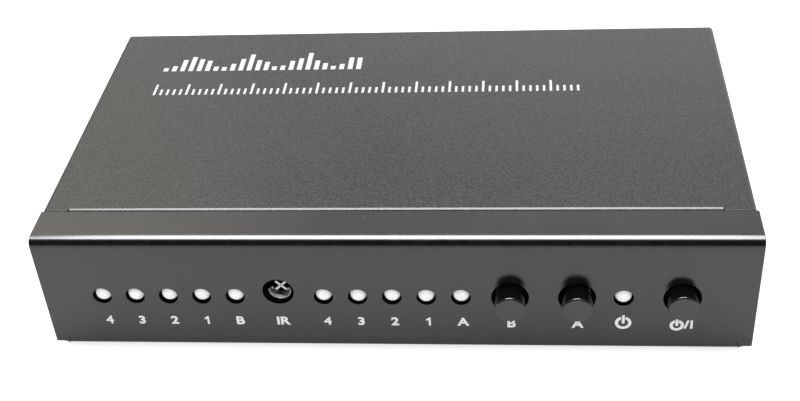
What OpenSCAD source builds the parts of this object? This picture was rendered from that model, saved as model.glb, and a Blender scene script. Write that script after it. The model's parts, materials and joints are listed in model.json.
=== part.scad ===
// Compact audio matrix switcher: four optical inputs routed to two optical outputs.
// A folded sheet steel base with the control panel, a slide-on cover, and one circuit board
// that carries the switches, lamps, infrared receiver and rear sockets.
// +X is to the right seen from the front, +Y to the rear, +Z up.
// The origin lies under the middle of the whole box, on the surface that the feet stand on.

/* [Case] */
// Width of the front panel
case_w = 132; // [126:1:180]
// Depth from the front panel's face to the rear panel's face
case_d = 75; // [66:1:120]
// Height of the case without its feet
case_h = 26; // [24:1:44]
// Thickness of the sheet steel
sheet_t = 0.8; // [0.6:0.1:1.1]
// Outer radius of each bend in the sheet
bend_r = 1.5; // [1.2:0.1:2.5]
// Depth of the front panel's top lip, from the front face
lip_d = 8.7; // [7:0.1:14]
// Depth of the rear panel's top flange, from the rear face
rear_flange_d = 7; // [4:0.5:10]
// How far the ends of the front panel stop above the underside of the case
corner_lift = 1.1; // [0.2:0.1:1.2]
// Height of the base's side walls
side_wall_h = 6; // [4:0.5:9]
// Gap between the side walls and the bends at the front and rear
wall_relief = 1.5; // [0.5:0.1:3]

/* [Cover] */
// How far each side of the cover stands in from the end of the front panel
cover_inset = 0.1; // [0.1:0.05:1]
// How far the cover sits to the right of the middle, within its play
cover_shift = -0.1; // [-0.25:0.05:0.25]
// Inner radius of the bends between the cover's top and its sides
cover_bend_in = 0.2; // [0.1:0.1:1]
// Gap between the cover's edges and the front panel
seam_gap = 0.1; // [0.1:0.05:0.4]
// Gap between sheets that slide on each other
slip = 0.1; // [0.05:0.05:0.3]
// Gap between the cover's sides and the base inside it
side_gap = 0.3; // [0.25:0.05:1]
// How far the cover's sides stop above the underside of the case
side_lift = 0.3; // [0:0.1:1]
// Distance from each side of the cover to the end of its front tongue
tongue_inset = 5.5; // [4:0.5:20]
// How far the tongue sits to the right of the cover's middle
tongue_shift = -0.4; // [-1:0.1:1]
// Width of the slit at each end of the tongue
tongue_slit = 0.2; // [0.2:0.1:1]
// Depth of the flat part of the tongue under the lip
tongue_d = 4; // [2:0.5:5]
// Radius of the tongue's two bends, at the middle of the sheet
joggle_r = 0.6; // [0.6:0.1:1]

/* [Case screws] */
// Distance of the side screws from the front and rear faces
tab_y_inset = 21; // [14:0.5:28]
// Height of the side screws above the underside of the case
screw_h = 13; // [11.5:0.5:16]
// Width of each screw tab along the case
tab_w = 14; // [8:0.5:18]
// Height of the screw tabs above the screws
tab_over = 4.5; // [3:0.5:6]
// Radius of the threads
thread_r = 1.45; // [1:0.05:1.6]
// Gap round a thread in its tapped hole
thread_gap = 0.05; // [0.02:0.01:0.2]
// Length of each case screw under its flush face
case_screw_l = 5; // [3:0.5:6]
// Radius of the case screws' countersunk heads
case_head_r = 2.45; // [2.2:0.05:3]
// Gap round a screw head in its countersink
head_gap = 0.05; // [0.02:0.01:0.2]
// Width of the cross recess in a screw's head
recess_w = 2.9; // [2:0.1:3.6]
// Width of the recess's slots
recess_slot_w = 0.65; // [0.4:0.05:0.9]
// Depth of the recess
recess_d = 0.55; // [0.3:0.05:0.9]
// Outer radius of the drawn collar round each tapped hole
collar_r = 2.4; // [2:0.1:3]
// Depth of the drawn collar
collar_d = 0.8; // [0.3:0.1:1.5]

/* [Feet] */
// Height of the rubber feet
foot_h = 1.2; // [0.8:0.1:4]
// Radius of the rubber feet
foot_r = 4.5; // [3:0.5:7]
// Edge chamfer of the rubber feet
foot_chamfer = 0.3; // [0.1:0.1:0.6]
// Distance of the feet from the sides of the case
foot_x_inset = 12; // [9:0.5:20]
// Distance of the feet from the front and rear faces
foot_y_inset = 11; // [8:0.5:16]

/* [Circuit board] */
// Thickness of the circuit board
board_t = 1.6; // [1:0.2:2]
// Height of the standoffs under the board
standoff_h = 5; // [3:0.5:6]
// Radius of the standoffs
standoff_r = 2.75; // [2.3:0.05:3.5]
// Radius of each standoff's spigot in the floor
spigot_r = 2.1; // [1.9:0.05:2.2]
// Gap round a spigot
spigot_gap = 0.05; // [0.02:0.01:0.2]
// Gap between the front panel's face and the board
board_front_gap = 3.5; // [2:0.5:4]
// Gap between the rear panel's face and the board
board_rear_gap = 2; // [1.5:0.5:4]
// Gap between the screw tabs and the board
board_side_gap = 2.2; // [1:0.1:4]
// Distance of the board screws from the sides of the board
board_screw_x_inset = 4; // [3.5:0.5:6]
// Distance of the front board screws from the front face
board_screw_front = 24; // [22:0.5:28]
// Distance of the rear board screws from the rear face
board_screw_rear = 22; // [19:0.5:24]
// Radius of the holes for the board screws
board_hole_r = 1.65; // [1.62:0.01:2]
// Radius of the board screws' heads
board_head_r = 2.75; // [2.3:0.05:3.2]
// Height of the board screws' heads
board_head_h = 1.8; // [1.2:0.1:2.4]
// Length of the board screws under their heads
board_screw_l = 5; // [3:0.5:6]
// Radius of the holes for leads and pins
lead_hole_r = 0.55; // [0.45:0.05:0.7]
// How far leads and pins reach below the board
lead_tail = 1.2; // [0.5:0.1:2]

/* [Lamps] */
// Height of the lamps and buttons above the underside of the case
control_h = 12.7; // [12:0.1:15]
// Distance from lamp to lamp in a row
led_pitch = 6.35; // [5:0.05:6.8]
// Place of the first lamp in the output B row
led_b_x = -54.6; // [-56:0.1:-53]
// Place of the first lamp in the output A row
led_a_x = -12.6; // [-13:0.1:-11]
// Place of the power lamp
led_power_x = 42.2; // [40.5:0.1:44]
// Radius of a lamp's lens
led_r = 1.5; // [1:0.1:1.7]
// Gap round each lamp in the front panel
led_gap = 0.27; // [0.1:0.01:0.6]
// How far each lamp's tip lies behind the panel's face
led_setback = 0.1; // [0:0.1:1]
// Length of a lamp behind its dome
led_l = 3.8; // [3:0.1:4.5]
// How far a lamp's base ring stands out round it
led_rim = 0.4; // [0.2:0.1:0.6]
// Thickness of a lamp's base ring
led_rim_t = 1; // [0.5:0.1:1.5]
// Distance between a lamp's two leads
led_lead_pitch = 2; // [1.6:0.1:2.54]
// How far the leads run back before they turn down
led_lead_run = 2.5; // [1.5:0.1:4]
// Thickness of the lamps' and the receiver's leads
lead_t = 0.5; // [0.4:0.05:0.6]

/* [Infrared receiver] */
// Place of the receiver
ir_x = -20.95; // [-21.5:0.05:-20]
// Height of the receiver's lens above the underside of the case
ir_h = 13.9; // [12:0.1:15]
// Radius of the receiver's window in the front panel
ir_hole_r = 2.9; // [2.7:0.1:3.2]
// Radius of the receiver's lens
ir_lens_r = 2.5; // [2:0.1:2.7]
// How far the lens lies behind the panel's face
ir_setback = 2.3; // [1.2:0.1:2.6]
// Width of the receiver's body
ir_w = 7; // [6:0.1:8]
// Depth of the receiver's body
ir_d = 2.8; // [2:0.1:3.2]
// Height of the receiver's body
ir_body_h = 7.6; // [6:0.1:8]
// Distance between the receiver's three leads
ir_lead_pitch = 2.54; // [2:0.01:2.6]

/* [Buttons] */
// Place of the output B button
button_b_x = 21.75; // [20.5:0.05:22.5]
// Place of the output A button
button_a_x = 33.85; // [32:0.05:35]
// Place of the power button
button_power_x = 52.65; // [51:0.05:54]
// Radius of a button's cap
cap_r = 2.75; // [2.3:0.05:3.1]
// Gap round a cap in the front panel
cap_gap = 0.65; // [0.2:0.05:1]
// How far the caps stand out from the front panel
button_proud = 3.5; // [2.4:0.1:5]
// How much less the power button's cap stands out than the other two
power_sink = 0.5; // [0:0.1:0.8]
// Length of a cap behind the panel's face
cap_tail = 4.5; // [3:0.1:6]
// Rounding of a cap's front edge
cap_edge_r = 0.35; // [0.1:0.05:0.8]
// How far a button travels
button_travel = 1.5; // [0.5:0.1:2]
// Gap between a fully pressed cap and its switch
cap_rear_gap = 0.5; // [0.3:0.1:1.5]
// Width of a plunger's square stem
stem_w = 2.5; // [2:0.1:3]
// Depth of the stem's socket in the cap
stem_socket_d = 5; // [3:0.1:6]
// Gap round the stem in the cap
stem_fit = 0.03; // [0.02:0.01:0.1]
// Gap round the stem in the switch
stem_gap = 0.1; // [0.05:0.05:0.3]
// Width of the plunger's shoulder
shoulder_w = 5.4; // [4.5:0.1:5.6]
// Thickness of the plunger's shoulder
shoulder_t = 1.2; // [0.6:0.1:2]
// Gap round the shoulder in the switch
shoulder_gap = 0.3; // [0.1:0.05:0.6]
// Depth of a switch body
switch_d = 10; // [9:0.1:12]
// Thickness of a switch body's walls
switch_wall = 1; // [0.8:0.1:1.2]
// Thickness of the plate that closes the back of a switch
switch_plate_t = 0.5; // [0.3:0.1:0.8]
// Distance between the two rows of switch pins
switch_pin_pitch = 5; // [3:0.1:5.5]
// Distance of the switch pins from the ends of the body
switch_pin_inset = 2; // [1:0.1:3]
// Thickness of the switch pins
switch_pin_t = 0.6; // [0.4:0.05:0.6]
// Radius of the return spring, at the middle of its wire
spring_r = 1.8; // [1.4:0.1:2]
// Radius of the return spring's wire
wire_r = 0.2; // [0.1:0.05:0.25]
// Turns of the return spring
spring_turns = 5; // [3:1:7]

/* [Optical sockets] */
// Places of the four optical inputs
input_x = [34, 19, 4, -11]; // [-60:0.5:60]
// Places of the two optical outputs
output_x = [-32, -47]; // [-60:0.5:60]
// Width of a socket's body
socket_w = 9.8; // [9.2:0.1:12]
// Height of a socket's body
socket_h = 10.4; // [10:0.1:12]
// Length of a socket's body
socket_l = 14; // [13.6:0.1:16]
// Gap round a socket in the rear panel
socket_gap = 0.2; // [0.1:0.05:0.5]
// Width of the opening for the plug
plug_w = 7.6; // [7:0.1:7.8]
// Height of the opening for the plug
plug_h = 8.4; // [7.5:0.1:8.6]
// Depth of the opening for the plug
plug_d = 9.5; // [9.2:0.1:10]
// Chamfer of the opening's lower corners
plug_chamfer = 1.6; // [0.5:0.1:2]
// Radius of the bore for the plug's tip
ferrule_r = 1.65; // [1.4:0.05:2]
// Width of an optical element
optic_w = 5; // [4:0.1:5.4]
// Depth of an optical element
optic_d = 2.4; // [1.5:0.1:2.6]
// Height of an optical element above the board
optic_h = 7; // [6.5:0.1:8]
// Radius of an optical element's lens
optic_lens_r = 1.1; // [0.6:0.1:1.2]
// Gap round an optical element in its pocket
optic_gap = 0.2; // [0.1:0.05:0.4]
// Distance between an optical element's three pins
optic_pin_pitch = 1.9; // [1.6:0.1:2]
// Thickness of the optical elements' pins
optic_pin_t = 0.5; // [0.3:0.05:0.6]

/* [Shutters] */
// Thickness of a shutter
shutter_t = 0.8; // [0.5:0.1:1]
// How far a shutter's hinge lies inside the opening
shutter_setback = 1.2; // [1:0.1:1.5]
// Radius of a shutter's hinge pins
hinge_pin_r = 0.5; // [0.35:0.05:0.6]
// Gap round a hinge pin
hinge_gap = 0.05; // [0.02:0.01:0.1]
// Length of each hinge pin
hinge_pin_l = 0.6; // [0.4:0.1:0.8]
// Radius of the rounded top edge of a shutter
knuckle_r = 0.75; // [0.65:0.05:0.9]
// Gap between a shutter and the opening
shutter_gap = 0.15; // [0.1:0.05:0.3]

/* [Power socket] */
// Place of the power socket
dc_x = 52; // [50:0.5:54]
// Width of the power socket
dc_w = 9; // [8:0.1:10]
// Height of the power socket
dc_h = 11; // [10.4:0.1:13]
// Length of the power socket
dc_l = 14; // [12:0.1:16]
// Height of the plug's axis above the board
dc_axis_h = 6.5; // [5.5:0.1:7]
// Radius of the opening for the plug
dc_bore_r = 3.2; // [2.75:0.05:3.5]
// Depth of the opening for the plug
dc_bore_d = 9.5; // [8:0.1:10.5]
// Radius of the centre pin
dc_pin_r = 1; // [0.6:0.05:1.25]
// How far the centre pin's tip lies inside the opening
dc_pin_inset = 0.8; // [0.2:0.1:2]
// Radius of the centre pin's root, where it passes through the socket's back
dc_root_r = 0.7; // [0.4:0.05:0.9]
// Gap round the centre pin's root
dc_root_gap = 0.03; // [0.02:0.01:0.1]
// Width of the power socket's contact blades
blade_w = 2.4; // [1.5:0.1:3]
// Thickness of the contact blades
blade_t = 0.5; // [0.3:0.1:0.8]
// Gap round a contact blade in the board
blade_gap = 0.15; // [0.1:0.05:0.3]

/* [Components] */
// Places of the two chips on the board, from its middle
chip_x = [-22, 12]; // [-40:1:40]
// Lengths of the two chips
chip_l = [10.3, 12.8]; // [8:0.1:16]
// Width of the chips
chip_w = 7.5; // [5:0.1:8]
// Height of the chips
chip_h = 2.3; // [1.5:0.1:3]
// Gap between a chip's body and the board
chip_lift = 0.2; // [0.1:0.05:0.4]
// Distance from lead to lead along a chip
chip_lead_pitch = 1.27; // [1:0.01:1.4]
// Leads on each side of the two chips
chip_leads_a_side = [8, 10]; // [4:1:12]
// Width of a chip's leads
chip_lead_w = 0.42; // [0.3:0.01:0.6]
// Thickness of a chip's leads
chip_lead_t = 0.25; // [0.15:0.01:0.3]
// How far a chip's leads reach out
chip_lead_reach = 1.4; // [1:0.1:1.8]
// Places of the filter capacitors on the board, from its middle
capacitor_x = [36, 44, 52]; // [30:1:54]
// How far the capacitors lie behind the middle of the board
capacitor_y = 9; // [6:0.5:12]
// Radius of a capacitor
capacitor_r = 3.15; // [2:0.05:3.4]
// Height of a capacitor
capacitor_h = 8; // [5:0.1:9]
// Rounding of a capacitor's top edge
capacitor_edge_r = 0.5; // [0.2:0.1:1]
// Place of the voltage regulator on the board, from its middle
regulator_at = [44, -2]; // [-8:1:54]
// Width, depth and height of the voltage regulator
regulator_size = [6.5, 3.5, 1.7]; // [1:0.1:8]
// Place of the clock crystal on the board, from its middle
crystal_at = [12, -9]; // [-12:1:30]
// Length of the clock crystal
crystal_l = 11; // [8:0.1:13]
// Width of the clock crystal
crystal_w = 4.6; // [3.5:0.1:5]
// Height of the clock crystal
crystal_h = 3.5; // [2.5:0.1:5]
// Place of the first chip resistor on the board, from its middle
resistor_at = [-46, -6]; // [-50:1:-36]
// Rows and columns of chip resistors
resistor_grid = [4, 5]; // [1:1:6]
// Distance from one chip resistor to the next, across and along
resistor_pitch = [3.2, 3]; // [2.5:0.1:4]
// Width, depth and height of a chip resistor
resistor_size = [2, 1.25, 0.5]; // [0.3:0.05:2.4]

/* [Hidden] */
$fn = 48;
fine_gap = 0.02;
// How far a cut runs past a face, or one length of sheet runs into the next
past = 1;

// Levels, from the table up
base_z = foot_h;
floor_z = base_z + sheet_t;
board_z = floor_z + standoff_h;
board_top = board_z + board_t;
control_z = base_z + control_h;
ir_z = base_z + ir_h;
top_z = base_z + case_h;
rear_top = top_z - sheet_t - slip;

// Planes, from the front to the rear
front_y = (button_proud - case_d) / 2;
rear_y = front_y + case_d;
lip_y = front_y + lip_d;
seam_y = lip_y + seam_gap;
tab_ys = [front_y + tab_y_inset, rear_y - tab_y_inset];

// Half widths
case_half = case_w / 2;
cover_half = case_half - cover_inset;
cover_bend_r = sheet_t + cover_bend_in;
tab_half = cover_half - sheet_t - side_gap;
floor_half = tab_half - bend_r;
tongue_half = cover_half - tongue_inset;
slit_half = tongue_half + tongue_slit;

// The tongue drops by one sheet and the slip, through two equal bends
joggle_drop = sheet_t + slip;
joggle_angle = acos(1 - joggle_drop / (2 * joggle_r));
joggle_run = 2 * joggle_r * sin(joggle_angle);
joggle_out = joggle_r + sheet_t / 2;
joggle_in = joggle_r - sheet_t / 2;
// The inner face of the lower bend passes under the lip just behind its edge
joggle_clear = joggle_in * sin(acos(max(0, 1 - slip / joggle_in)));
joggle_y = seam_y + joggle_run - joggle_clear;
joggle_steps = 8;

// Circuit board
board_half = tab_half - sheet_t - board_side_gap;
board_front = front_y + board_front_gap;
board_rear = rear_y - board_rear_gap;
board_mid = (front_y + rear_y) / 2;
board_screw_x = board_half - board_screw_x_inset;
board_screws_at = [for (sx = [-1, 1], y = [front_y + board_screw_front, rear_y - board_screw_rear])
    [sx * board_screw_x, y]];
foot_places = [for (sx = [-1, 1], y = [front_y + foot_y_inset, rear_y - foot_y_inset])
    [sx * (case_half - foot_x_inset), y]];
tapped_r = thread_r + thread_gap;
case_hole_r = case_head_r - sheet_t + head_gap;

// Lamps, numbered from the left as on the panel
led_b_xs = [for (i = [0:4]) led_b_x + i * led_pitch];
led_a_xs = [for (i = [0:4]) led_a_x + i * led_pitch];
led_xs = concat(led_b_xs, led_a_xs, [led_power_x]);
led_nodes = ["led_b4", "led_b3", "led_b2", "led_b1", "led_b",
    "led_a4", "led_a3", "led_a2", "led_a1", "led_a", "led_power"];
led_y = front_y + led_setback + led_r;
led_back = led_y + led_l;
led_lead_y = led_back + led_lead_run - lead_t / 2;
led_leads_at = [for (x = led_xs, s = [-1, 1]) [x + s * led_lead_pitch / 2, led_lead_y]];

// Infrared receiver
ir_front = front_y + ir_setback + ir_lens_r;
ir_lead_y = ir_front + ir_d / 2;
ir_leads_at = [for (i = [-1:1]) [ir_x + i * ir_lead_pitch, ir_lead_y]];

// Buttons and their switches
button_xs = [button_b_x, button_a_x, button_power_x];
button_sinks = [0, 0, power_sink];
button_names = ["button_b", "button_a", "button_power"];
cap_front = front_y - button_proud;
cap_l = button_proud + cap_tail;
cap_rear = cap_front + cap_l;
stem_front = cap_rear - stem_socket_d;
switch_front = cap_rear + max(button_sinks) + button_travel + cap_rear_gap;
switch_rear = switch_front + switch_d;
chamber_half = shoulder_w / 2 + shoulder_gap;
switch_half = chamber_half + switch_wall;
shoulder_front = switch_front + switch_wall;
shoulder_rear = shoulder_front + shoulder_t;
switch_pins_at = [for (x = button_xs, s = [-1, 1],
    y = [switch_front + switch_pin_inset, switch_rear - switch_pin_inset])
    [x + s * switch_pin_pitch / 2, y]];

// Return springs: a tube of six-sided rings along a helix
spring_sides = 6;
spring_rings_a_turn = 12;
spring_rings = spring_turns * spring_rings_a_turn;
spring_from = wire_r + fine_gap;
spring_rise = switch_rear - shoulder_rear - 2 * spring_from;
spring_pitch = spring_rise / spring_turns;
spring_slope = atan2(spring_pitch, 2 * PI * spring_r);
echo(least_spring_gap = spring_pitch * cos(spring_slope) - 2 * wire_r);

// Optical sockets
socket_xs = concat(input_x, output_x);
socket_nodes = ["optical_input_1", "optical_input_2", "optical_input_3", "optical_input_4",
    "optical_output_a", "optical_output_b"];
shutter_nodes = [for (name = socket_nodes) str(name, "_shutter")];
plug_z = board_top + socket_h / 2;
plug_floor = rear_y - plug_d;
optic_rear = rear_y - socket_l + optic_d;
optic_pin_y = rear_y - socket_l + optic_d / 2;
optic_pins_at = [for (x = socket_xs, i = [-1:1]) [x + i * optic_pin_pitch, optic_pin_y]];
hinge_y = rear_y - shutter_setback;
hinge_z = plug_z + plug_h / 2 - knuckle_r - shutter_gap;

// Power socket
dc_z = board_top + dc_axis_h;
dc_front = rear_y - dc_l;
dc_bore_end = rear_y - dc_bore_d;
dc_tail_y = dc_front - blade_t;
blades_at = [[dc_x, dc_front - blade_t / 2], [dc_x, dc_front + dc_l / 2]];

// Extrudes an outline drawn in Y and Z over a width centred on the case
module across(width) {
    translate([-width / 2, 0, 0])
        rotate([90, 0, 90])
            linear_extrude(width)
                children();
}

// Extrudes an outline drawn in X and Z from one plane to another
module along(y0, y1) {
    translate([0, y1, 0])
        rotate([90, 0, 0])
            linear_extrude(y1 - y0)
                children();
}

// Places a shape whose own axis points up so that it points to the front
module to_front(x, y, z) {
    translate([x, y, z])
        rotate([90, 0, 0])
            children();
}

// Draws its children on the right, and mirrored on the left
module both_sides() {
    children();
    mirror([1, 0, 0])
        children();
}

// The quarter ring of a bend of outer radius r, in the quarter that the two signs give
module bend_corner(sx, sz, r = bend_r) {
    intersection() {
        difference() {
            circle(r);
            circle(r - sheet_t);
        }
        translate([min(0, sx * r), min(0, sz * r)])
            square(r);
    }
}

// A quarter disc, for rounded edges of turned shapes
module quarter_disc(r) {
    intersection() {
        circle(r);
        square(r);
    }
}

// A dome whose foot runs down into the block that it is moulded with
module moulded_dome(r) {
    rotate_extrude() {
        quarter_disc(r);
        translate([0, -past])
            square([r, past]);
    }
}

// Two crossed slots, for a screw head's recess that opens upwards at the origin
module cross_recess() {
    for (a = [0, 90])
        rotate(a)
            translate([-recess_w / 2, -recess_slot_w / 2, -recess_d])
                cube([recess_w, recess_slot_w, recess_d + past]);
}

// Square leads that stand through the board from a given height
module board_leads(places, from_z, thickness) {
    for (p = places)
        translate([p.x - thickness / 2, p.y - thickness / 2, board_z - lead_tail])
            cube([thickness, thickness, from_z - board_z + lead_tail]);
}

module lip_and_panel_outline() {
    translate([front_y + bend_r, top_z - bend_r])
        bend_corner(-1, 1);
    translate([front_y + bend_r, top_z - sheet_t])
        square([lip_d - bend_r, sheet_t]);
    translate([front_y, base_z + bend_r])
        square([sheet_t, case_h - 2 * bend_r]);
}

module floor_outline() {
    translate([front_y + bend_r, base_z + bend_r])
        bend_corner(-1, -1);
    translate([front_y + bend_r, base_z])
        square([case_d - 2 * bend_r, sheet_t]);
    translate([rear_y - bend_r, base_z + bend_r])
        bend_corner(1, -1);
    for (y = [front_y, rear_y - sheet_t])
        translate([y, base_z + bend_r])
            square([sheet_t, past]);
}

module rear_flange_outline() {
    translate([rear_y - bend_r, rear_top - bend_r])
        bend_corner(1, 1);
    translate([rear_y - rear_flange_d, rear_top - sheet_t])
        square([rear_flange_d - bend_r, sheet_t]);
    translate([rear_y - sheet_t, rear_top - bend_r - past])
        square([sheet_t, past]);
}

module side_wall_outline() {
    translate([floor_half - past, base_z])
        square([past, sheet_t]);
    translate([floor_half, base_z + bend_r])
        bend_corner(1, -1);
    translate([tab_half - sheet_t, base_z + bend_r])
        square([sheet_t, side_wall_h - bend_r]);
}

module screw_tab_outline() {
    translate([tab_half - sheet_t, base_z + side_wall_h - past])
        square([sheet_t, screw_h + tab_over - side_wall_h + past]);
}

module base_sheet() {
    across(case_w)
        lip_and_panel_outline();
    both_sides()
        along(front_y, front_y + sheet_t)
            translate([floor_half, base_z + corner_lift])
                square([case_half - floor_half, bend_r - corner_lift + past]);
    across(2 * floor_half)
        floor_outline();
    along(rear_y - sheet_t, rear_y)
        translate([-tab_half, base_z + bend_r])
            square([2 * tab_half, rear_top - base_z - 2 * bend_r]);
    across(2 * floor_half)
        rear_flange_outline();
    both_sides()
        along(front_y + bend_r + wall_relief, rear_y - bend_r - wall_relief)
            side_wall_outline();
    both_sides()
        for (y = tab_ys) {
            along(y - tab_w / 2, y + tab_w / 2)
                screw_tab_outline();
            translate([tab_half - sheet_t - collar_d, y, base_z + screw_h])
                rotate([0, 90, 0])
                    cylinder(r = collar_r, h = collar_d + sheet_t / 2);
        }
}

module front_holes_outline() {
    for (x = led_xs)
        translate([x, control_z])
            circle(led_r + led_gap);
    for (x = button_xs)
        translate([x, control_z])
            circle(cap_r + cap_gap);
    translate([ir_x, ir_z])
        circle(ir_hole_r);
}

module rear_holes_outline() {
    for (x = socket_xs)
        translate([x - socket_w / 2 - socket_gap, board_top - socket_gap])
            square([socket_w + 2 * socket_gap, socket_h + 2 * socket_gap]);
    translate([dc_x - dc_w / 2 - socket_gap, board_top - socket_gap])
        square([dc_w + 2 * socket_gap, dc_h + 2 * socket_gap]);
}

module base_chassis() {
    color("#2b2b2d")
        difference() {
            base_sheet();
            along(front_y - past, front_y + sheet_t + past)
                front_holes_outline();
            along(rear_y - sheet_t - past, rear_y + past)
                rear_holes_outline();
            for (p = board_screws_at)
                translate([p.x, p.y, base_z - past])
                    cylinder(r = spigot_r + spigot_gap, h = sheet_t + 2 * past);
            both_sides()
                for (y = tab_ys)
                    translate([tab_half - sheet_t - collar_d - past, y, base_z + screw_h])
                        rotate([0, 90, 0])
                            cylinder(r = tapped_r, h = sheet_t + collar_d + 2 * past);
        }
}

// One side of the cover, up to a given height
module cover_side_outline(upper_z) {
    translate([cover_half - sheet_t, base_z + side_lift])
        square([sheet_t, upper_z - base_z - side_lift]);
}

module cover_outline() {
    both_sides() {
        cover_side_outline(top_z - cover_bend_r);
        translate([cover_half - cover_bend_r, top_z - cover_bend_r])
            bend_corner(1, 1, cover_bend_r);
    }
    translate([cover_bend_r - cover_half, top_z - sheet_t])
        square([2 * (cover_half - cover_bend_r), sheet_t]);
}

// Points on an arc round a centre, without its first point
function arc_points(centre, r, from, to) =
    [for (i = [1:joggle_steps])
        let (a = from + (to - from) * i / joggle_steps)
        centre + r * [cos(a), sin(a)]];

// The cover's front edge drops by one sheet and runs on under the lip
module tongue_outline() {
    upper = [joggle_y, top_z - joggle_out];
    end_y = joggle_y - joggle_run;
    lower = [end_y, top_z - joggle_drop + joggle_in];
    polygon(concat(
        [[joggle_y + past, top_z], [joggle_y, top_z]],
        arc_points(upper, joggle_out, 90, 90 + joggle_angle),
        arc_points(lower, joggle_in, 270 + joggle_angle, 270),
        [[end_y - tongue_d, top_z - joggle_drop], [end_y - tongue_d, top_z - joggle_drop - sheet_t],
            [end_y, top_z - joggle_drop - sheet_t]],
        arc_points(lower, joggle_out, 270, 270 + joggle_angle),
        arc_points(upper, joggle_in, 90 + joggle_angle, 90),
        [[joggle_y + past, top_z - sheet_t]]));
}

module cover_screw_places() {
    both_sides()
        for (y = tab_ys)
            translate([cover_half, y, base_z + screw_h])
                rotate([0, 90, 0])
                    children();
}

// A square cone through the cover's side, which runs past both of its faces
module countersink() {
    translate([0, 0, -sheet_t - past])
        cylinder(r1 = case_hole_r - past, r2 = case_hole_r + sheet_t + past, h = sheet_t + 2 * past);
}

module top_cover() {
    color("#303030")
        translate([cover_shift, 0, 0])
            difference() {
                union() {
                    along(seam_y, rear_y)
                        cover_outline();
                    both_sides()
                        along(front_y + sheet_t + seam_gap, seam_y + past)
                            cover_side_outline(top_z - sheet_t - slip);
                }
                along(seam_y - past, joggle_y)
                    translate([tongue_shift - slit_half, top_z - sheet_t - past])
                        square([2 * slit_half, sheet_t + 2 * past]);
                cover_screw_places()
                    countersink();
            }
    color("#303030")
        translate([cover_shift + tongue_shift, 0, 0])
            across(2 * tongue_half)
                tongue_outline();
}

module cover_screws() {
    color("#1c1c1e")
        translate([cover_shift, 0, 0])
            cover_screw_places()
                difference() {
                    union() {
                        translate([0, 0, -sheet_t])
                            cylinder(r1 = case_head_r - sheet_t, r2 = case_head_r, h = sheet_t);
                        translate([0, 0, -case_screw_l])
                            cylinder(r = thread_r, h = case_screw_l - sheet_t / 2);
                    }
                    cross_recess();
                }
}

module board_standoffs() {
    color("#c9c4b4")
        for (p = board_screws_at)
            translate([p.x, p.y, base_z])
                difference() {
                    union() {
                        cylinder(r = spigot_r, h = sheet_t + past);
                        translate([0, 0, sheet_t])
                            cylinder(r = standoff_r, h = standoff_h);
                    }
                    translate([0, 0, -past])
                        cylinder(r = tapped_r, h = sheet_t + standoff_h + 2 * past);
                }
}

module board_screws() {
    color("#c8c9cc")
        for (p = board_screws_at)
            translate([p.x, p.y, board_top])
                difference() {
                    union() {
                        cylinder(r = board_head_r, h = board_head_h);
                        translate([0, 0, -board_screw_l])
                            cylinder(r = thread_r, h = board_screw_l + board_head_h / 2);
                    }
                    translate([0, 0, board_head_h])
                        cross_recess();
                }
}

module rubber_feet() {
    color("#151515")
        for (p = foot_places)
            translate([p.x, p.y, 0])
                rotate_extrude()
                    polygon([[0, 0], [foot_r - foot_chamfer, 0], [foot_r, foot_chamfer],
                        [foot_r, foot_h], [0, foot_h]]);
}

module main_board() {
    color("#1f5a3a")
        translate([0, 0, board_z])
            linear_extrude(board_t)
                difference() {
                    translate([-board_half, board_front])
                        square([2 * board_half, board_rear - board_front]);
                    for (p = board_screws_at)
                        translate(p)
                            circle(board_hole_r);
                    for (p = concat(led_leads_at, ir_leads_at, switch_pins_at, optic_pins_at))
                        translate(p)
                            circle(lead_hole_r);
                    for (p = blades_at)
                        translate(p - [blade_w, blade_t] / 2 - [blade_gap, blade_gap])
                            square([blade_w, blade_t] + 2 * [blade_gap, blade_gap]);
                }
}

// A lamp with a domed lens, lying on its side
module led(x) {
    color("#e9e6de")
        to_front(x, led_y, control_z)
            rotate_extrude() {
                quarter_disc(led_r);
                translate([0, -led_l])
                    square([led_r, led_l]);
                translate([0, -led_l])
                    square([led_r + led_rim, led_rim_t]);
            }
}

module led_leads() {
    color("#b9bcc0") {
        board_leads(led_leads_at, control_z + lead_t / 2, lead_t);
        for (p = led_leads_at)
            translate([p.x - lead_t / 2, led_back, control_z - lead_t / 2])
                cube([lead_t, led_lead_run, lead_t]);
    }
}

// A dark moulded block with a round lens in front
module ir_receiver() {
    color("#121214")
        union() {
            translate([ir_x - ir_w / 2, ir_front, ir_z - ir_body_h / 2])
                cube([ir_w, ir_d, ir_body_h]);
            to_front(ir_x, ir_front, ir_z)
                moulded_dome(ir_lens_r);
        }
}

module ir_receiver_leads() {
    color("#b9bcc0")
        board_leads(ir_leads_at, ir_z - ir_body_h / 2, lead_t);
}

module button_cap(i) {
    socket_half = stem_w / 2 + stem_fit;
    color("#4a4743")
        to_front(button_xs[i], cap_front + button_sinks[i], control_z)
            difference() {
                rotate_extrude() {
                    translate([0, -cap_l])
                        square([cap_r, cap_l - cap_edge_r]);
                    translate([0, -cap_edge_r])
                        square([cap_r - cap_edge_r, cap_edge_r]);
                    translate([cap_r - cap_edge_r, -cap_edge_r])
                        quarter_disc(cap_edge_r);
                }
                translate([-socket_half, -socket_half, -cap_l - past])
                    cube([2 * socket_half, 2 * socket_half, stem_socket_d + past]);
            }
}

module button_plunger(i) {
    x = button_xs[i];
    sunk_front = stem_front + button_sinks[i];
    color("#e2e0d8")
        union() {
            translate([x - stem_w / 2, sunk_front, control_z - stem_w / 2])
                cube([stem_w, shoulder_rear - sunk_front, stem_w]);
            translate([x - shoulder_w / 2, shoulder_front, control_z - shoulder_w / 2])
                cube([shoulder_w, shoulder_t, shoulder_w]);
        }
}

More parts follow.
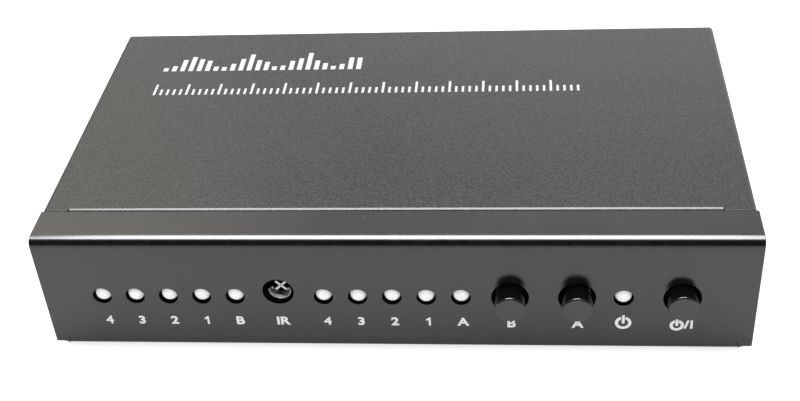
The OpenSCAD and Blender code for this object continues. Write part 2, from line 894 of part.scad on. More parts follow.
module button_switch(x) {
    guide_half = stem_w / 2 + stem_gap;
    color("#26282b")
        difference() {
            translate([x - switch_half, switch_front, board_top])
                cube([2 * switch_half, switch_d, control_z + switch_half - board_top]);
            translate([x - chamber_half, shoulder_front, control_z - chamber_half])
                cube([2 * chamber_half, switch_d, 2 * chamber_half]);
            translate([x - guide_half, switch_front - past, control_z - guide_half])
                cube([2 * guide_half, switch_wall + 2 * past, 2 * guide_half]);
        }
}

function spring_point(i, k) =
    let (turn = 360 * i / spring_rings_a_turn)
    let (side = 360 * k / spring_sides)
    let (centre = [spring_r * cos(turn), spring_r * sin(turn), spring_from + spring_rise * i / spring_rings])
    let (outward = [cos(turn), sin(turn), 0])
    let (upward = [sin(turn) * sin(spring_slope), -cos(turn) * sin(spring_slope), cos(spring_slope)])
    centre + wire_r * (cos(side) * outward + sin(side) * upward);

function spring_index(i, k) = i * spring_sides + k % spring_sides;

module button_spring(x) {
    points = [for (i = [0:spring_rings], k = [0:spring_sides - 1]) spring_point(i, k)];
    walls = [for (i = [0:spring_rings - 1], k = [0:spring_sides - 1], half = [0, 1])
        half == 0
            ? [spring_index(i, k), spring_index(i, k + 1), spring_index(i + 1, k + 1)]
            : [spring_index(i, k), spring_index(i + 1, k + 1), spring_index(i + 1, k)]];
    near_end = [for (k = [1:spring_sides - 2]) [0, k + 1, k]];
    last = spring_rings * spring_sides;
    far_end = [for (k = [1:spring_sides - 2]) [last, last + k, last + k + 1]];
    color("#a9adb3")
        translate([x, shoulder_rear, control_z])
            rotate([-90, 0, 0])
                polyhedron(points, concat(walls, near_end, far_end));
}

module switch_plates() {
    color("#bfc2c6")
        for (x = button_xs)
            translate([x - switch_half, switch_rear, board_top])
                cube([2 * switch_half, switch_plate_t, control_z + switch_half - board_top]);
}

module switch_pins() {
    color("#c8c9cc")
        board_leads(switch_pins_at, board_top, switch_pin_t);
}

// The opening for a plug, drawn round its axis, less a gap all round
module plug_outline(gap) {
    w = plug_w / 2 - gap;
    h = plug_h / 2 - gap;
    c = plug_chamfer;
    polygon([[w, h], [-w, h], [-w, c - h], [c - w, -h], [w - c, -h], [w, c - h]]);
}

module optical_socket(x) {
    color("#1b1b1d")
        difference() {
            translate([x - socket_w / 2, rear_y - socket_l, board_top])
                cube([socket_w, socket_l, socket_h]);
            along(plug_floor, rear_y + past)
                translate([x, plug_z])
                    plug_outline(0);
            to_front(x, plug_floor + past, plug_z)
                cylinder(r = ferrule_r, h = socket_l - plug_d + past);
            translate([x - optic_w / 2 - optic_gap, rear_y - socket_l - past, board_top - past])
                cube([optic_w + 2 * optic_gap, optic_d + optic_gap + past, optic_h + optic_gap + past]);
            translate([x - plug_w / 2 - hinge_pin_l - fine_gap, hinge_y, hinge_z])
                rotate([0, 90, 0])
                    cylinder(r = hinge_pin_r + hinge_gap, h = plug_w + 2 * (hinge_pin_l + fine_gap));
        }
}

// A sprung flap that hangs in the mouth of a socket, with a pin at each end of its top edge
module optical_shutter(x) {
    flap_half = plug_w / 2 - shutter_gap;
    pin_reach = plug_w / 2 + hinge_pin_l;
    color("#232326")
        union() {
            intersection() {
                along(hinge_y - shutter_t / 2, hinge_y + shutter_t / 2)
                    translate([x, plug_z])
                        plug_outline(shutter_gap);
                translate([x - plug_w, hinge_y - past, plug_z - plug_h])
                    cube([2 * plug_w, 2 * past, hinge_z - plug_z + plug_h]);
            }
            translate([x - flap_half, hinge_y, hinge_z])
                rotate([0, 90, 0])
                    cylinder(r = knuckle_r, h = 2 * flap_half);
            translate([x - pin_reach, hinge_y, hinge_z])
                rotate([0, 90, 0])
                    cylinder(r = hinge_pin_r, h = 2 * pin_reach);
        }
}

module optical_elements() {
    color("#2a2320")
        for (x = socket_xs) {
            translate([x - optic_w / 2, rear_y - socket_l, board_top])
                cube([optic_w, optic_d, optic_h]);
            translate([x, optic_rear, plug_z])
                rotate([-90, 0, 0])
                    moulded_dome(optic_lens_r);
        }
}

module optical_pins() {
    color("#c8c9cc")
        board_leads(optic_pins_at, board_top, optic_pin_t);
}

module dc_jack() {
    color("#19191b")
        difference() {
            translate([dc_x - dc_w / 2, dc_front, board_top])
                cube([dc_w, dc_l, dc_h]);
            to_front(dc_x, rear_y + past, dc_z)
                cylinder(r = dc_bore_r, h = dc_bore_d + past);
            to_front(dc_x, dc_bore_end + past, dc_z)
                cylinder(r = dc_root_r + dc_root_gap, h = dc_l - dc_bore_d + 2 * past);
        }
}

// The centre pin has a round tip, and its thinner root runs through the socket's back to a blade
module dc_jack_pin() {
    pin_l = dc_bore_d - dc_pin_inset - dc_pin_r;
    root_l = dc_l - dc_bore_d;
    color("#c8c9cc")
        translate([dc_x, dc_front, dc_z])
            rotate([-90, 0, 0])
                rotate_extrude() {
                    square([dc_root_r, root_l]);
                    translate([0, root_l])
                        square([dc_pin_r, pin_l]);
                    translate([0, root_l + pin_l])
                        quarter_disc(dc_pin_r);
                }
}

module dc_jack_blades() {
    color("#c8c9cc") {
        translate([dc_x - blade_w / 2, dc_tail_y, board_z - lead_tail])
            cube([blade_w, blade_t, dc_z + blade_w / 2 - board_z + lead_tail]);
        translate([dc_x - blade_w / 2, blades_at[1].y - blade_t / 2, board_z - lead_tail])
            cube([blade_w, blade_t, board_t + lead_tail]);
    }
}

module chip(i) {
    color("#1d1e20")
        translate([chip_x[i] - chip_l[i] / 2, board_mid - chip_w / 2, board_top + chip_lift])
            cube([chip_l[i], chip_w, chip_h - chip_lift]);
}

// Leads that leave a chip at half its height, turn down and stand on the board
module chip_leads() {
    color("#c8c9cc")
        for (i = [0, 1], row = [0:max(chip_leads_a_side) - 1])
            if (row < chip_leads_a_side[i])
                for (turn = [0, 180])
                    translate([chip_x[i], board_mid, board_top])
                        rotate(turn)
                            chip_lead((row - (chip_leads_a_side[i] - 1) / 2) * chip_lead_pitch);
}

module chip_lead(x) {
    shoulder = chip_lead_reach / 2;
    translate([x - chip_lead_w / 2, chip_w / 2, 0])
        rotate([90, 0, 90])
            linear_extrude(chip_lead_w)
                polygon([[0, chip_h / 2], [shoulder, chip_h / 2], [shoulder, 0], [chip_lead_reach, 0],
                    [chip_lead_reach, chip_lead_t], [shoulder + chip_lead_t, chip_lead_t],
                    [shoulder + chip_lead_t, chip_h / 2 + chip_lead_t], [0, chip_h / 2 + chip_lead_t]]);
}

module filter_capacitors() {
    color("#23324a")
        for (x = capacitor_x)
            translate([x, board_mid + capacitor_y, board_top])
                rotate_extrude() {
                    square([capacitor_r, capacitor_h - capacitor_edge_r]);
                    square([capacitor_r - capacitor_edge_r, capacitor_h]);
                    translate([capacitor_r - capacitor_edge_r, capacitor_h - capacitor_edge_r])
                        quarter_disc(capacitor_edge_r);
                }
}

module voltage_regulator() {
    color("#1d1e20")
        translate([regulator_at.x, board_mid + regulator_at.y, board_top])
            translate([-regulator_size.x / 2, -regulator_size.y / 2, 0])
                cube(regulator_size);
}

module clock_crystal() {
    straight = crystal_l - crystal_w;
    color("#c8c9cc")
        translate([crystal_at.x, board_mid + crystal_at.y, board_top])
            linear_extrude(crystal_h) {
                square([straight, crystal_w], center = true);
                for (s = [-1, 1])
                    translate([s * straight / 2, 0])
                        circle(crystal_w / 2);
            }
}

module chip_resistors() {
    color("#2c2c2e")
        for (i = [0:resistor_grid.x - 1], j = [0:resistor_grid.y - 1])
            translate([resistor_at.x + i * resistor_pitch.x, board_mid + resistor_at.y + j * resistor_pitch.y,
                board_top])
                cube(resistor_size);
}

base_chassis();
top_cover();
cover_screws();
board_standoffs();
board_screws();
rubber_feet();
main_board();
for (i = [0:len(led_nodes) - 1])
    led(led_xs[i]);
led_leads();
ir_receiver();
ir_receiver_leads();
for (i = [0:len(button_names) - 1]) {
    button_cap(i);
    button_plunger(i);
    button_switch(button_xs[i]);
    button_spring(button_xs[i]);
}
switch_plates();
switch_pins();
for (i = [0:len(socket_nodes) - 1]) {
    optical_socket(socket_xs[i]);
    optical_shutter(socket_xs[i]);
}
optical_elements();
optical_pins();
dc_jack();
dc_jack_pin();
dc_jack_blades();
chip(0);  // matrix_chip
chip(1);  // control_chip
chip_leads();
filter_capacitors();
voltage_regulator();
clock_crystal();
chip_resistors();
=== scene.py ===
# %% [markdown]
# # Dressing a small audio matrix switcher
# The unit is a folded steel box. A base sheet carries the front panel, its lip, the floor and the rear
# panel, and a sand-textured cover slides in under the lip. Lamps, an infrared eye and three buttons show
# in front, and six optical sockets and a power socket behind.
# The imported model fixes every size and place, so this lesson only adds what an eye looks for: paint that
# rounds over the edges of the sheet, resin, moulded plastic, print, and soft light to see them by.

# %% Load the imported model
import json
import math
from contextlib import contextmanager

import bmesh
import bpy
from mathutils import Matrix, Vector
from mathutils.geometry import delaunay_2d_cdt

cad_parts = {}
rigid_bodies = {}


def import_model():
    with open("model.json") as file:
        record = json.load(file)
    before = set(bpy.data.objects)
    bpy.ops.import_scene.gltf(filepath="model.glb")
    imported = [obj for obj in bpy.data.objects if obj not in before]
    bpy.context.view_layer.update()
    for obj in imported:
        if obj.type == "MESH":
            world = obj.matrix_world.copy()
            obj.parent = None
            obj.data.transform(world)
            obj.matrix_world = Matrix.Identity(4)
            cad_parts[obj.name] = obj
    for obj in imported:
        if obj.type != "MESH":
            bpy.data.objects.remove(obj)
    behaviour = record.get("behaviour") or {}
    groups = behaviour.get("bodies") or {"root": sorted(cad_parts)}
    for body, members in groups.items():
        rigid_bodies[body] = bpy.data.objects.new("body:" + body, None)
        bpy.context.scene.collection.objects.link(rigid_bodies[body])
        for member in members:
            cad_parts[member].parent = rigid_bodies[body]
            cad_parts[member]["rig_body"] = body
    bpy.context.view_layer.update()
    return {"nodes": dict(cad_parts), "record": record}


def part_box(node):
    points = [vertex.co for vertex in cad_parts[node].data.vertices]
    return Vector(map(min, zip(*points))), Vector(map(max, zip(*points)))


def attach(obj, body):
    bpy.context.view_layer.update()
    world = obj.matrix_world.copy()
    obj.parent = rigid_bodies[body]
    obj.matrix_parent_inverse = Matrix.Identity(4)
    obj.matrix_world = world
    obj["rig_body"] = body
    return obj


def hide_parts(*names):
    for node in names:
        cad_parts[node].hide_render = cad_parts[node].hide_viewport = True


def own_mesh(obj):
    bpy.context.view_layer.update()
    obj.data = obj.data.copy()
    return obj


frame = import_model()
nodes = frame["nodes"]
slot_of = {part["node"]: part["material_slot"] for part in frame["record"]["subparts"]}
MM = 0.001

# %% [markdown]
# ## The camera
# The picture was taken by hand from above the front edge, a little to the right and with a slight roll.
# A camera's pose can be set by trial, but fitting it to the straight edges of the case gives heading, dip
# and roll at once. The order of the rotations is that of a tripod head: pan, then tilt, then roll.

# %% Stand the camera where the picture was taken
PICTURE_WIDTH = 800
FOCAL_LENGTH_IN_PIXELS = 1260
SENSOR_WIDTH = 36
NEAREST = 10 * MM
EYE = Vector((24.19, -209.2, 166.4)) * MM
HEADING = math.radians(6.973)
DIP = math.radians(36.707)
ROLL = math.radians(-4.341)

scene = bpy.context.scene


def link(name, data):
    """An object in the scene, made from its data."""
    made = bpy.data.objects.new(name, data)
    scene.collection.objects.link(made)
    return made


lens = bpy.data.cameras.new("photo_camera")
lens.sensor_fit = "HORIZONTAL"
lens.sensor_width = SENSOR_WIDTH
lens.lens = SENSOR_WIDTH * FOCAL_LENGTH_IN_PIXELS / PICTURE_WIDTH
lens.clip_start = NEAREST
camera = link("photo_camera", lens)
pan = Matrix.Rotation(HEADING, 4, "Z")
tilt = Matrix.Rotation(math.pi / 2 - DIP, 4, "X")
roll = Matrix.Rotation(ROLL, 4, "Z")
camera.matrix_world = Matrix.Translation(EYE) @ pan @ tilt @ roll
scene.camera = camera
scene.view_settings.view_transform = "Standard"
print("camera with a", round(lens.lens, 1), "mm lens")

# %% [markdown]
# ## Writing node trees as sums
# Materials and geometry both come from node trees, and long lists of links are hard to read. Here a small
# class wraps an output socket, so that `0.3 + 0.1 * grain` adds the Math nodes by itself, and one method
# adds every other node: its type first, then its settings, then the values or links of its sockets.

# %% A socket that can be added and multiplied
class Wire:
    """An output socket. Arithmetic on it adds Math nodes to its own tree."""

    def __init__(self, bench, socket):
        self.bench = bench
        self.socket = socket

    def also(self, out):
        """Another output of the same node."""
        return Wire(self.bench, self.socket.node.outputs[out])

    def reckon(self, operation, first, second):
        return self.bench.node("ShaderNodeMath", {"operation": operation}, {0: first, 1: second})

    def __add__(self, other):
        return self.reckon("ADD", self, other)

    def __radd__(self, other):
        return self.reckon("ADD", other, self)

    def __sub__(self, other):
        return self.reckon("SUBTRACT", self, other)

    def __rsub__(self, other):
        return self.reckon("SUBTRACT", other, self)

    def __mul__(self, other):
        return self.reckon("MULTIPLY", self, other)

    def __rmul__(self, other):
        return self.reckon("MULTIPLY", other, self)

    def __truediv__(self, other):
        return self.reckon("DIVIDE", self, other)

    def __rtruediv__(self, other):
        return self.reckon("DIVIDE", other, self)

    def __lt__(self, other):
        return self.reckon("LESS_THAN", self, other)

    def __gt__(self, other):
        return self.reckon("GREATER_THAN", self, other)


print("wires can be added, subtracted, multiplied, divided and compared")

# %% A bench on which trees are built
class Bench:
    """A node tree, with one method that adds any node to it, and one that mixes colours."""

    def __init__(self, tree):
        self.tree = tree

    def node(self, kind, settings=None, inputs=None, out=0):
        made = self.tree.nodes.new(kind)
        for name, value in (settings or {}).items():
            setattr(made, name, value)
        for socket, value in (inputs or {}).items():
            if isinstance(value, Wire):
                self.tree.links.new(value.socket, made.inputs[socket])
            else:
                made.inputs[socket].default_value = value
        return Wire(self, made.outputs[out]) if len(made.outputs) else None

    def mix(self, share, first, second):
        """From the first colour to the second, by a share from 0 to 1."""
        inputs = {0: share, 6: first, 7: second}
        return self.node("ShaderNodeMix", {"data_type": "RGBA"}, inputs, out=2)


print("a bench is ready for trees")

# %% A bench for materials
PAINTED_SHADE_BLACK = (0.003, 0.003, 0.003, 1)


class Finish(Bench):
    """A material, with the few patterns that these finishes share."""

    def __init__(self, name):
        self.material = bpy.data.materials.new(name)
        self.material.use_nodes = True
        super().__init__(self.material.node_tree)
        self.tree.nodes.clear()
        self.place = self.node("ShaderNodeTexCoord", out="Object")

    def noise(self, size, detail=2.0):
        """Soft random lumps of about that size, from 0 to 1."""
        inputs = {"Vector": self.place, "Scale": 1 / size, "Detail": detail}
        return self.node("ShaderNodeTexNoise", inputs=inputs)

    def specks(self, spacing, size):
        """1 inside small scattered specks, and 0 between them."""
        inputs = {"Vector": self.place, "Scale": 1 / spacing}
        distance = self.node("ShaderNodeTexVoronoi", inputs=inputs, out="Distance")
        return distance < size / spacing

    def sharper(self, value, gain):
        """A pattern with more contrast round its middle, kept from 0 to 1."""
        inputs = {0: value, 1: gain, 2: 0.5 - 0.5 * gain}
        return self.node("ShaderNodeMath", {"operation": "MULTIPLY_ADD", "use_clamp": True}, inputs)

    def bump(self, height, depth):
        return self.node("ShaderNodeBump", inputs={"Height": height, "Distance": depth})

    def close(self, shader, painted_shade=None):
        """Ends the material. Where the painted shade share is 1, a dull black is laid instead of the shader,
        as painted shade.
        """
        if painted_shade:
            black = self.node("ShaderNodeBsdfDiffuse", inputs={"Color": PAINTED_SHADE_BLACK})
            shader = self.node("ShaderNodeMixShader", inputs={0: painted_shade, 1: shader, 2: black})
        self.node("ShaderNodeOutputMaterial", inputs={"Surface": shader})
        return self.material

    def shade(self, sockets, painted_shade=None):
        return self.close(self.node("ShaderNodeBsdfPrincipled", inputs=sockets), painted_shade)


print("a bench is ready for materials")

# %% [markdown]
# ## The floor
# The unit stands on a white table. Black paint takes most of its look from reflections, so the table counts
# in mirrors as much as in view. It glows a little for the camera on top of its own shading, so it is white
# and keeps the contact shadow. In mirrors it is painted darker towards the dark front, as painted shade that
# softens the dark line below the front bend, and a little at the foot of the panel, as a painted shadow.

# %% Cards, and how rays see them
def seen_directly(bench, by_camera, by_mirror):
    """A share for camera rays, one for mirror and glass rays, and 0 for rays that light other surfaces."""
    ray = bench.node("ShaderNodeLightPath", out="Is Camera Ray")
    return by_camera * ray + by_mirror * (ray.also("Is Glossy Ray") + ray.also("Is Transmission Ray"))


def card(name, corners, material):
    """A flat sheet that belongs to the stage, not to the unit."""
    mesh = bpy.data.meshes.new(name)
    mesh.from_pydata(corners, [], [tuple(range(len(corners)))])
    mesh.materials.append(material)
    made = link(name, mesh)
    return made


print("cards can be laid")

# %% Lay the floor
FLOOR_HALF = 3.0
FLOOR_WHITE = (0.9, 0.9, 0.9, 1)
FLOOR_LIFT = 0.68
MIRROR_LIFT = 0.05
FADE_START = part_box("base_chassis")[0].y
FADE_LENGTH = 85 * MM
FOOT_LENGTH = 5 * MM
FOOT_SHADE = 0.3
PURE_WHITE = (1, 1, 1, 1)


def floor_finish():
    finish = Finish("white_table")
    paint = finish.node("ShaderNodeBsdfDiffuse", inputs={"Color": FLOOR_WHITE})
    lift = seen_directly(finish, FLOOR_LIFT, MIRROR_LIFT)
    glow = finish.node("ShaderNodeEmission", inputs={"Color": PURE_WHITE, "Strength": lift})
    both = finish.node("ShaderNodeAddShader", inputs={0: paint, 1: glow})
    y = finish.node("ShaderNodeSeparateXYZ", inputs={0: finish.place}, out="Y")
    ahead = y.reckon("MAXIMUM", FADE_START - y, 0)
    far = ahead / FADE_LENGTH
    near = ahead / FOOT_LENGTH
    mirrored = finish.node("ShaderNodeLightPath", out="Is Glossy Ray")
    # Painted shade in mirrors: darker far in front, and a painted shadow at the foot of the panel.
    mirror_shade = mirrored * (1 - 1 / (1 + far * far) + FOOT_SHADE / (1 + near * near))
    return finish.close(both, painted_shade=mirror_shade)


half = FLOOR_HALF
floor_corners = [(-half, -half, 0), (half, -half, 0), (half, half, 0), (-half, half, 0)]
card("floor", floor_corners, floor_finish())
print("floor of", 2 * FLOOR_HALF, "m")

# %% [markdown]
# ## Light and surroundings
# One broad lamp hangs overhead in a bright room whose front is dark. The lamp is hung twice in almost one
# place, once to light surfaces and once to be mirrored in them, because a real lamp's mirror image is far
# brighter than a plain light level allows. The dark front is a card that only reflections see. The world is
# white to the camera at a strength of 1. A real room is never even, so in mirrors it is brightest low down
# behind the unit, with a warm patch on the left.

# %% Hang the lamp
LAMP_AT = Vector((-0.06, 0.17, 0.7))
LAMP_SIZE = (0.56, 0.62)
LAMP_GLOW = 0.7
LAMP_SHEEN = 9.0
SHEEN_BELOW = Vector((0, 0, -0.01))


def overhead(name, place, radiance):
    """The broad lamp, with a radiance of its own."""
    lamp = bpy.data.lights.new(name, "AREA")
    lamp.shape = "RECTANGLE"
    lamp.size, lamp.size_y = LAMP_SIZE
    lamp.energy = math.pi * radiance * lamp.size * lamp.size_y
    made = link(name, lamp)
    made.location = place
    return made


glow_lamp = overhead("lamp_glow", LAMP_AT, LAMP_GLOW)
glow_lamp.visible_glossy = False
sheen_lamp = overhead("lamp_sheen", LAMP_AT + SHEEN_BELOW, LAMP_SHEEN)
sheen_lamp.visible_diffuse = False
sheen_lamp.visible_transmission = False
print("lamp with", round(glow_lamp.data.energy, 2), "W of light")

# %% Stand the dark card
CARD_GREY = (0.02, 0.02, 0.02, 1)
CARD_FOOT_Y = -1.0
CARD_TOP = (-0.6, 1.15)
CARD_HALF = 2.0

card_finish = Finish("dark_card").shade({"Base Color": CARD_GREY, "Roughness": 1.0})
top_y, top_z = CARD_TOP
card_corners = [(-CARD_HALF, CARD_FOOT_Y, 0), (CARD_HALF, CARD_FOOT_Y, 0),
                (CARD_HALF, top_y, top_z), (-CARD_HALF, top_y, top_z)]
front_card = card("front_card", card_corners, card_finish)
front_card.visible_camera = False
front_card.visible_diffuse = False
front_card.visible_transmission = False
front_card.visible_shadow = False
print("card up to", top_z, "m")

# %% Light the room
WORLD_FILL = 0.9
BRIGHT_FROM = Vector((0.1, 0.99, 0.1))
BRIGHT_EDGE = (0.805, 0.92)
BRIGHT_LEVELS = (0.41, 1.09)
WARM_FROM = Vector((-0.42, 0.68, 0.6))
WARM_EDGE = (0.957, 0.995)
WARM_RISE = 1.8
WARM_WHITE = (1, 0.95, 0.84, 1)

world = bpy.data.worlds.new("white_room")
world.use_nodes = True
scene.world = world
room = Bench(world.node_tree)
room.tree.nodes.clear()
toward = room.node("ShaderNodeTexCoord", out="Generated")


def slope(heading, edge, levels):
    """A value that changes from one level to another as the view nears a heading."""
    near = room.node("ShaderNodeVectorMath", {"operation": "DOT_PRODUCT"}, {0: toward, 1: heading},
                     out="Value")
    return room.node("ShaderNodeMapRange", inputs={
        "Value": near, "From Min": edge[0], "From Max": edge[1], "To Min": levels[0], "To Max": levels[1]})


mirrored = slope(BRIGHT_FROM, BRIGHT_EDGE, BRIGHT_LEVELS)
warm = slope(WARM_FROM, WARM_EDGE, (0, 1)) * room.node("ShaderNodeLightPath", out="Is Glossy Ray")
strength = WORLD_FILL + seen_directly(room, 1 - WORLD_FILL, mirrored - WORLD_FILL)
colour = room.mix(warm, PURE_WHITE, WARM_WHITE)
sky = room.node("ShaderNodeBackground", inputs={
    "Color": colour, "Strength": strength * (1 + WARM_RISE * warm)})
room.node("ShaderNodeOutputWorld", inputs={"Surface": sky})
print("room from", len(room.tree.nodes), "nodes")

# %% [markdown]
# ## Two black coats
# The base is sprayed with a smooth satin black: almost no colour of its own, a strong even sheen, and a
# faint haze, orange peel and dust. The walls of its holes are painted a dull black, as painted shade. The
# cover has a powder coat that cures into a sand grain of under half a millimetre. Grain could be modelled,
# but at that size bump and a spread of colour and roughness read the same.

# %% Satin black with hole walls in painted shade
SHADE_WALL_INSET = 2 * MM
SHADE_WALL_DEPTH = 0.01 * MM


def punched_walls(finish):
    """1 behind the front face, within the panel and away from its bends, where painted shade is laid."""
    low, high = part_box("base_chassis")
    x = finish.node("ShaderNodeSeparateXYZ", inputs={0: finish.place}, out="X")
    y, z = x.also("Y"), x.also("Z")
    across = (x > low.x + SHADE_WALL_INSET) * (x < high.x - SHADE_WALL_INSET)
    upright = (z > low.z + SHADE_WALL_INSET) * (z < high.z - SHADE_WALL_INSET)
    return across * upright * (y > low.y + SHADE_WALL_DEPTH) * (y < low.y + SHADE_WALL_INSET)


def panel_coat():
    finish = Finish("panel_coat")
    peel = finish.noise(0.8 * MM, detail=3)
    cloud = finish.noise(15 * MM)
    dust = finish.specks(6 * MM, 0.1 * MM)
    haze = finish.mix(finish.sharper(peel, 3), (0.001, 0.001, 0.001, 1), (0.008, 0.008, 0.008, 1))
    # The hole walls behind the front face are laid in a dull black, as painted shade.
    return finish.shade({
        "Base Color": finish.mix(dust, haze, (0.16, 0.16, 0.155, 1)),
        "Roughness": 0.16 + 0.05 * cloud + 0.3 * dust,
        "IOR": 1.98,
        "Normal": finish.bump(peel, 0.003 * MM),
    }, painted_shade=punched_walls(finish))


finishes = {"panel_coat": panel_coat()}
print("satin black:", len(finishes["panel_coat"].node_tree.nodes), "nodes")

# %% Sand-grain black
def cover_coat():
    finish = Finish("cover_coat")
    grain = finish.sharper(finish.noise(0.42 * MM, detail=3), 4)
    cloud = finish.noise(20 * MM)
    dust = finish.specks(9 * MM, 0.11 * MM)
    sand = finish.mix(grain, (0.017, 0.017, 0.0165, 1), (0.056, 0.056, 0.0545, 1))
    return finish.shade({
        "Base Color": finish.mix(dust, sand, (0.22, 0.22, 0.21, 1)),
        "Roughness": 0.17 + 0.05 * cloud + 0.04 * grain,
        "Specular IOR Level": 0.84,
        "Normal": finish.bump(grain, 0.003 * MM),
    })


finishes["cover_coat"] = cover_coat()
print("coats:", list(finishes))

# %% [markdown]
# ## Moulded plastics and resins
# Plastic takes its surface from the mould: a fine spark-eroded grain on caps and sockets, a polish on
# lenses. One function makes all of them, with a colour, a gloss and a grain, and a slow cloud through the
# colour so that no face is quite even.

# %% Plastics by colour, gloss and grain
PALER = 1.18


def plastic(name, colour, roughness, grain_size, grain_depth, sheen=0.5, coat=0.0):
    finish = Finish(name)
    grain = finish.noise(grain_size, detail=2)
    cloud = finish.noise(6 * MM)
    paler = tuple(min(1, PALER * part) for part in colour)
    return finish.shade({
        "Base Color": finish.mix(cloud, (*colour, 1), (*paler, 1)),
        "Roughness": roughness - 0.04 + 0.08 * grain,
        "Specular IOR Level": sheen,
        "Coat Weight": coat,
        "Coat Roughness": roughness,
        "Normal": finish.bump(grain, grain_depth),
    })


PLASTICS = {
    "cap_plastic": ((0.006, 0.005, 0.004), 0.17, 0.25 * MM, 0.002 * MM, 1.0, 0.6),
    "socket_plastic": ((0.014, 0.014, 0.015), 0.42, 0.22 * MM, 0.012 * MM),
    "shutter_plastic": ((0.022, 0.022, 0.023), 0.32, 0.3 * MM, 0.006 * MM),
    "switch_plastic": ((0.024, 0.024, 0.025), 0.45, 0.25 * MM, 0.01 * MM),
    "plunger_plastic": ((0.72, 0.70, 0.63), 0.4, 0.3 * MM, 0.006 * MM),
    "foot_rubber": ((0.018, 0.018, 0.018), 0.8, 0.35 * MM, 0.03 * MM, 0.3),
    "chip_resin": ((0.02, 0.02, 0.021), 0.6, 0.15 * MM, 0.01 * MM),
    "capacitor_sleeve": ((0.018, 0.028, 0.06), 0.25, 0.8 * MM, 0.004 * MM),
    "receiver_resin": ((0.003, 0.003, 0.0035), 0.1, 1.5 * MM, 0.001 * MM, 0.7),
    "optic_resin": ((0.03, 0.02, 0.018), 0.1, 1.0 * MM, 0.002 * MM),
}
for name, values in PLASTICS.items():
    finishes[name] = plastic(name, *values)
print("plastics:", len(PLASTICS))

# %% Milky resin of the lamps, with a painted glow
def lamp_lens():
    finish = Finish("lamp_lens")
    milk = finish.noise(1.2 * MM)
    return finish.shade({
        "Base Color": finish.mix(milk, (0.78, 0.78, 0.77, 1), (0.84, 0.84, 0.84, 1)),
        "Roughness": 0.22 + 0.1 * milk,
        "Subsurface Weight": 1.0,
        "Subsurface Scale": 1.2 * MM,
        "Subsurface Radius": (1.0, 0.97, 0.94),
        # The emission is a painted glow: the lamps are unlit, yet the resin gives off a little light.
        "Emission Color": PURE_WHITE,
        "Emission Strength": 0.26,
    })


finishes["lamp_lens"] = lamp_lens()
print("lamp resin:", len(finishes["lamp_lens"].node_tree.nodes), "nodes")

# %% [markdown]
# ## Metals and the circuit board
# Screws are blackened, pins and plates are tinned or zinc plated. Plating is never one even tone, so its
# roughness and colour drift, and drawn wire and machined parts get a fine streak. The board is a green
# mask over a weave of glass, with paler lanes where copper runs underneath.

# %% Plated metals
DULLER = 0.72


def metal(name, colour, roughness, metallic=1.0):
    finish = Finish(name)
    cloud = finish.noise(1.5 * MM, detail=4)
    streak = finish.noise(0.2 * MM)
    duller = tuple(DULLER * part for part in colour)
    return finish.shade({
        "Base Color": finish.mix(cloud, (*duller, 1), (*colour, 1)),
        "Metallic": metallic,
        "Roughness": roughness + 0.12 * cloud,
        "Normal": finish.bump(streak, 0.003 * MM),
    })


METALS = {
    "black_screw": ((0.05, 0.05, 0.053), 0.32, 0.6),
    "plated_steel": ((0.70, 0.70, 0.69), 0.26),
    "tinned_lead": ((0.74, 0.74, 0.72), 0.3),
    "spring_wire": ((0.62, 0.62, 0.61), 0.2),
    "bright_tin": ((0.95, 0.95, 0.94), 0.16),
}
for name, values in METALS.items():
    finishes[name] = metal(name, *values)
print("metals:", len(METALS))

# %% Laminate and ink, and a finish for every node
def board_laminate():
    finish = Finish("board_laminate")
    lanes = finish.node("ShaderNodeTexWave", {"bands_direction": "X"},
                        {"Vector": finish.place, "Scale": 120, "Distortion": 3, "Detail": 1})
    weave = finish.noise(0.25 * MM)
    return finish.shade({
        "Base Color": finish.mix(lanes > 0.62, (0.005, 0.045, 0.02, 1), (0.009, 0.08, 0.035, 1)),
        "Roughness": 0.28 + 0.12 * weave,
        "Normal": finish.bump(lanes + 0.3 * weave, 0.02 * MM),
    })


def print_ink():
    finish = Finish("print_ink")
    patch = finish.noise(0.35 * MM, detail=3)
    return finish.shade({
        "Base Color": finish.mix(patch, (0.93, 0.93, 0.92, 1), (0.99, 0.99, 0.98, 1)),
        "Roughness": 0.45 + 0.15 * patch,
    })


finishes["board_laminate"] = board_laminate()
ink = print_ink()
for node, piece in nodes.items():
    piece.data.materials.clear()
    piece.data.materials.append(finishes[slot_of[node]])
print("finishes:", len(finishes), "on all nodes")

# %% [markdown]
# ## From maker to piece
# A maker is an object that still has modifiers. Its evaluated shape is copied into a plain mesh, with its
# place in the mesh, and only that mesh becomes a piece that rides on a body. Two finishing steps are used
# again and again: a narrow bevel, because paint and moulds never leave a knife edge, and normals weighted
# by area, so that flat faces stay flat beside it. Where a knife edge is left, as on a film of ink, it is
# marked sharp, or its shading would bleed over the face.

# %% From a maker to a plain mesh
EDGE_ANGLE = math.radians(38)
EDGE_STEPS = 2
FINE_EDGE_STEPS = 3


def plain_mesh(maker):
    """The evaluated shape of a maker, which is then removed."""
    graph = bpy.context.evaluated_depsgraph_get()
    mesh = bpy.data.meshes.new_from_object(maker.evaluated_get(graph), depsgraph=graph)
    mesh.name = maker.name
    bpy.data.objects.remove(maker)
    return mesh


def rounded(mesh, width, segments=EDGE_STEPS):
    """Rounds the sharp edges of a mesh by a width."""
    maker = link(mesh.name, mesh)
    bevel = maker.modifiers.new("edges", "BEVEL")
    bevel.width = width
    bevel.segments = segments
    bevel.limit_method = "ANGLE"
    bevel.angle_limit = EDGE_ANGLE
    bevel.use_clamp_overlap = False
    bevel.loop_slide = False
    return plain_mesh(maker)


print("edges over", round(math.degrees(EDGE_ANGLE)), "degrees are rounded")

# %% Open meshes and join them
MERGE = 1e-6


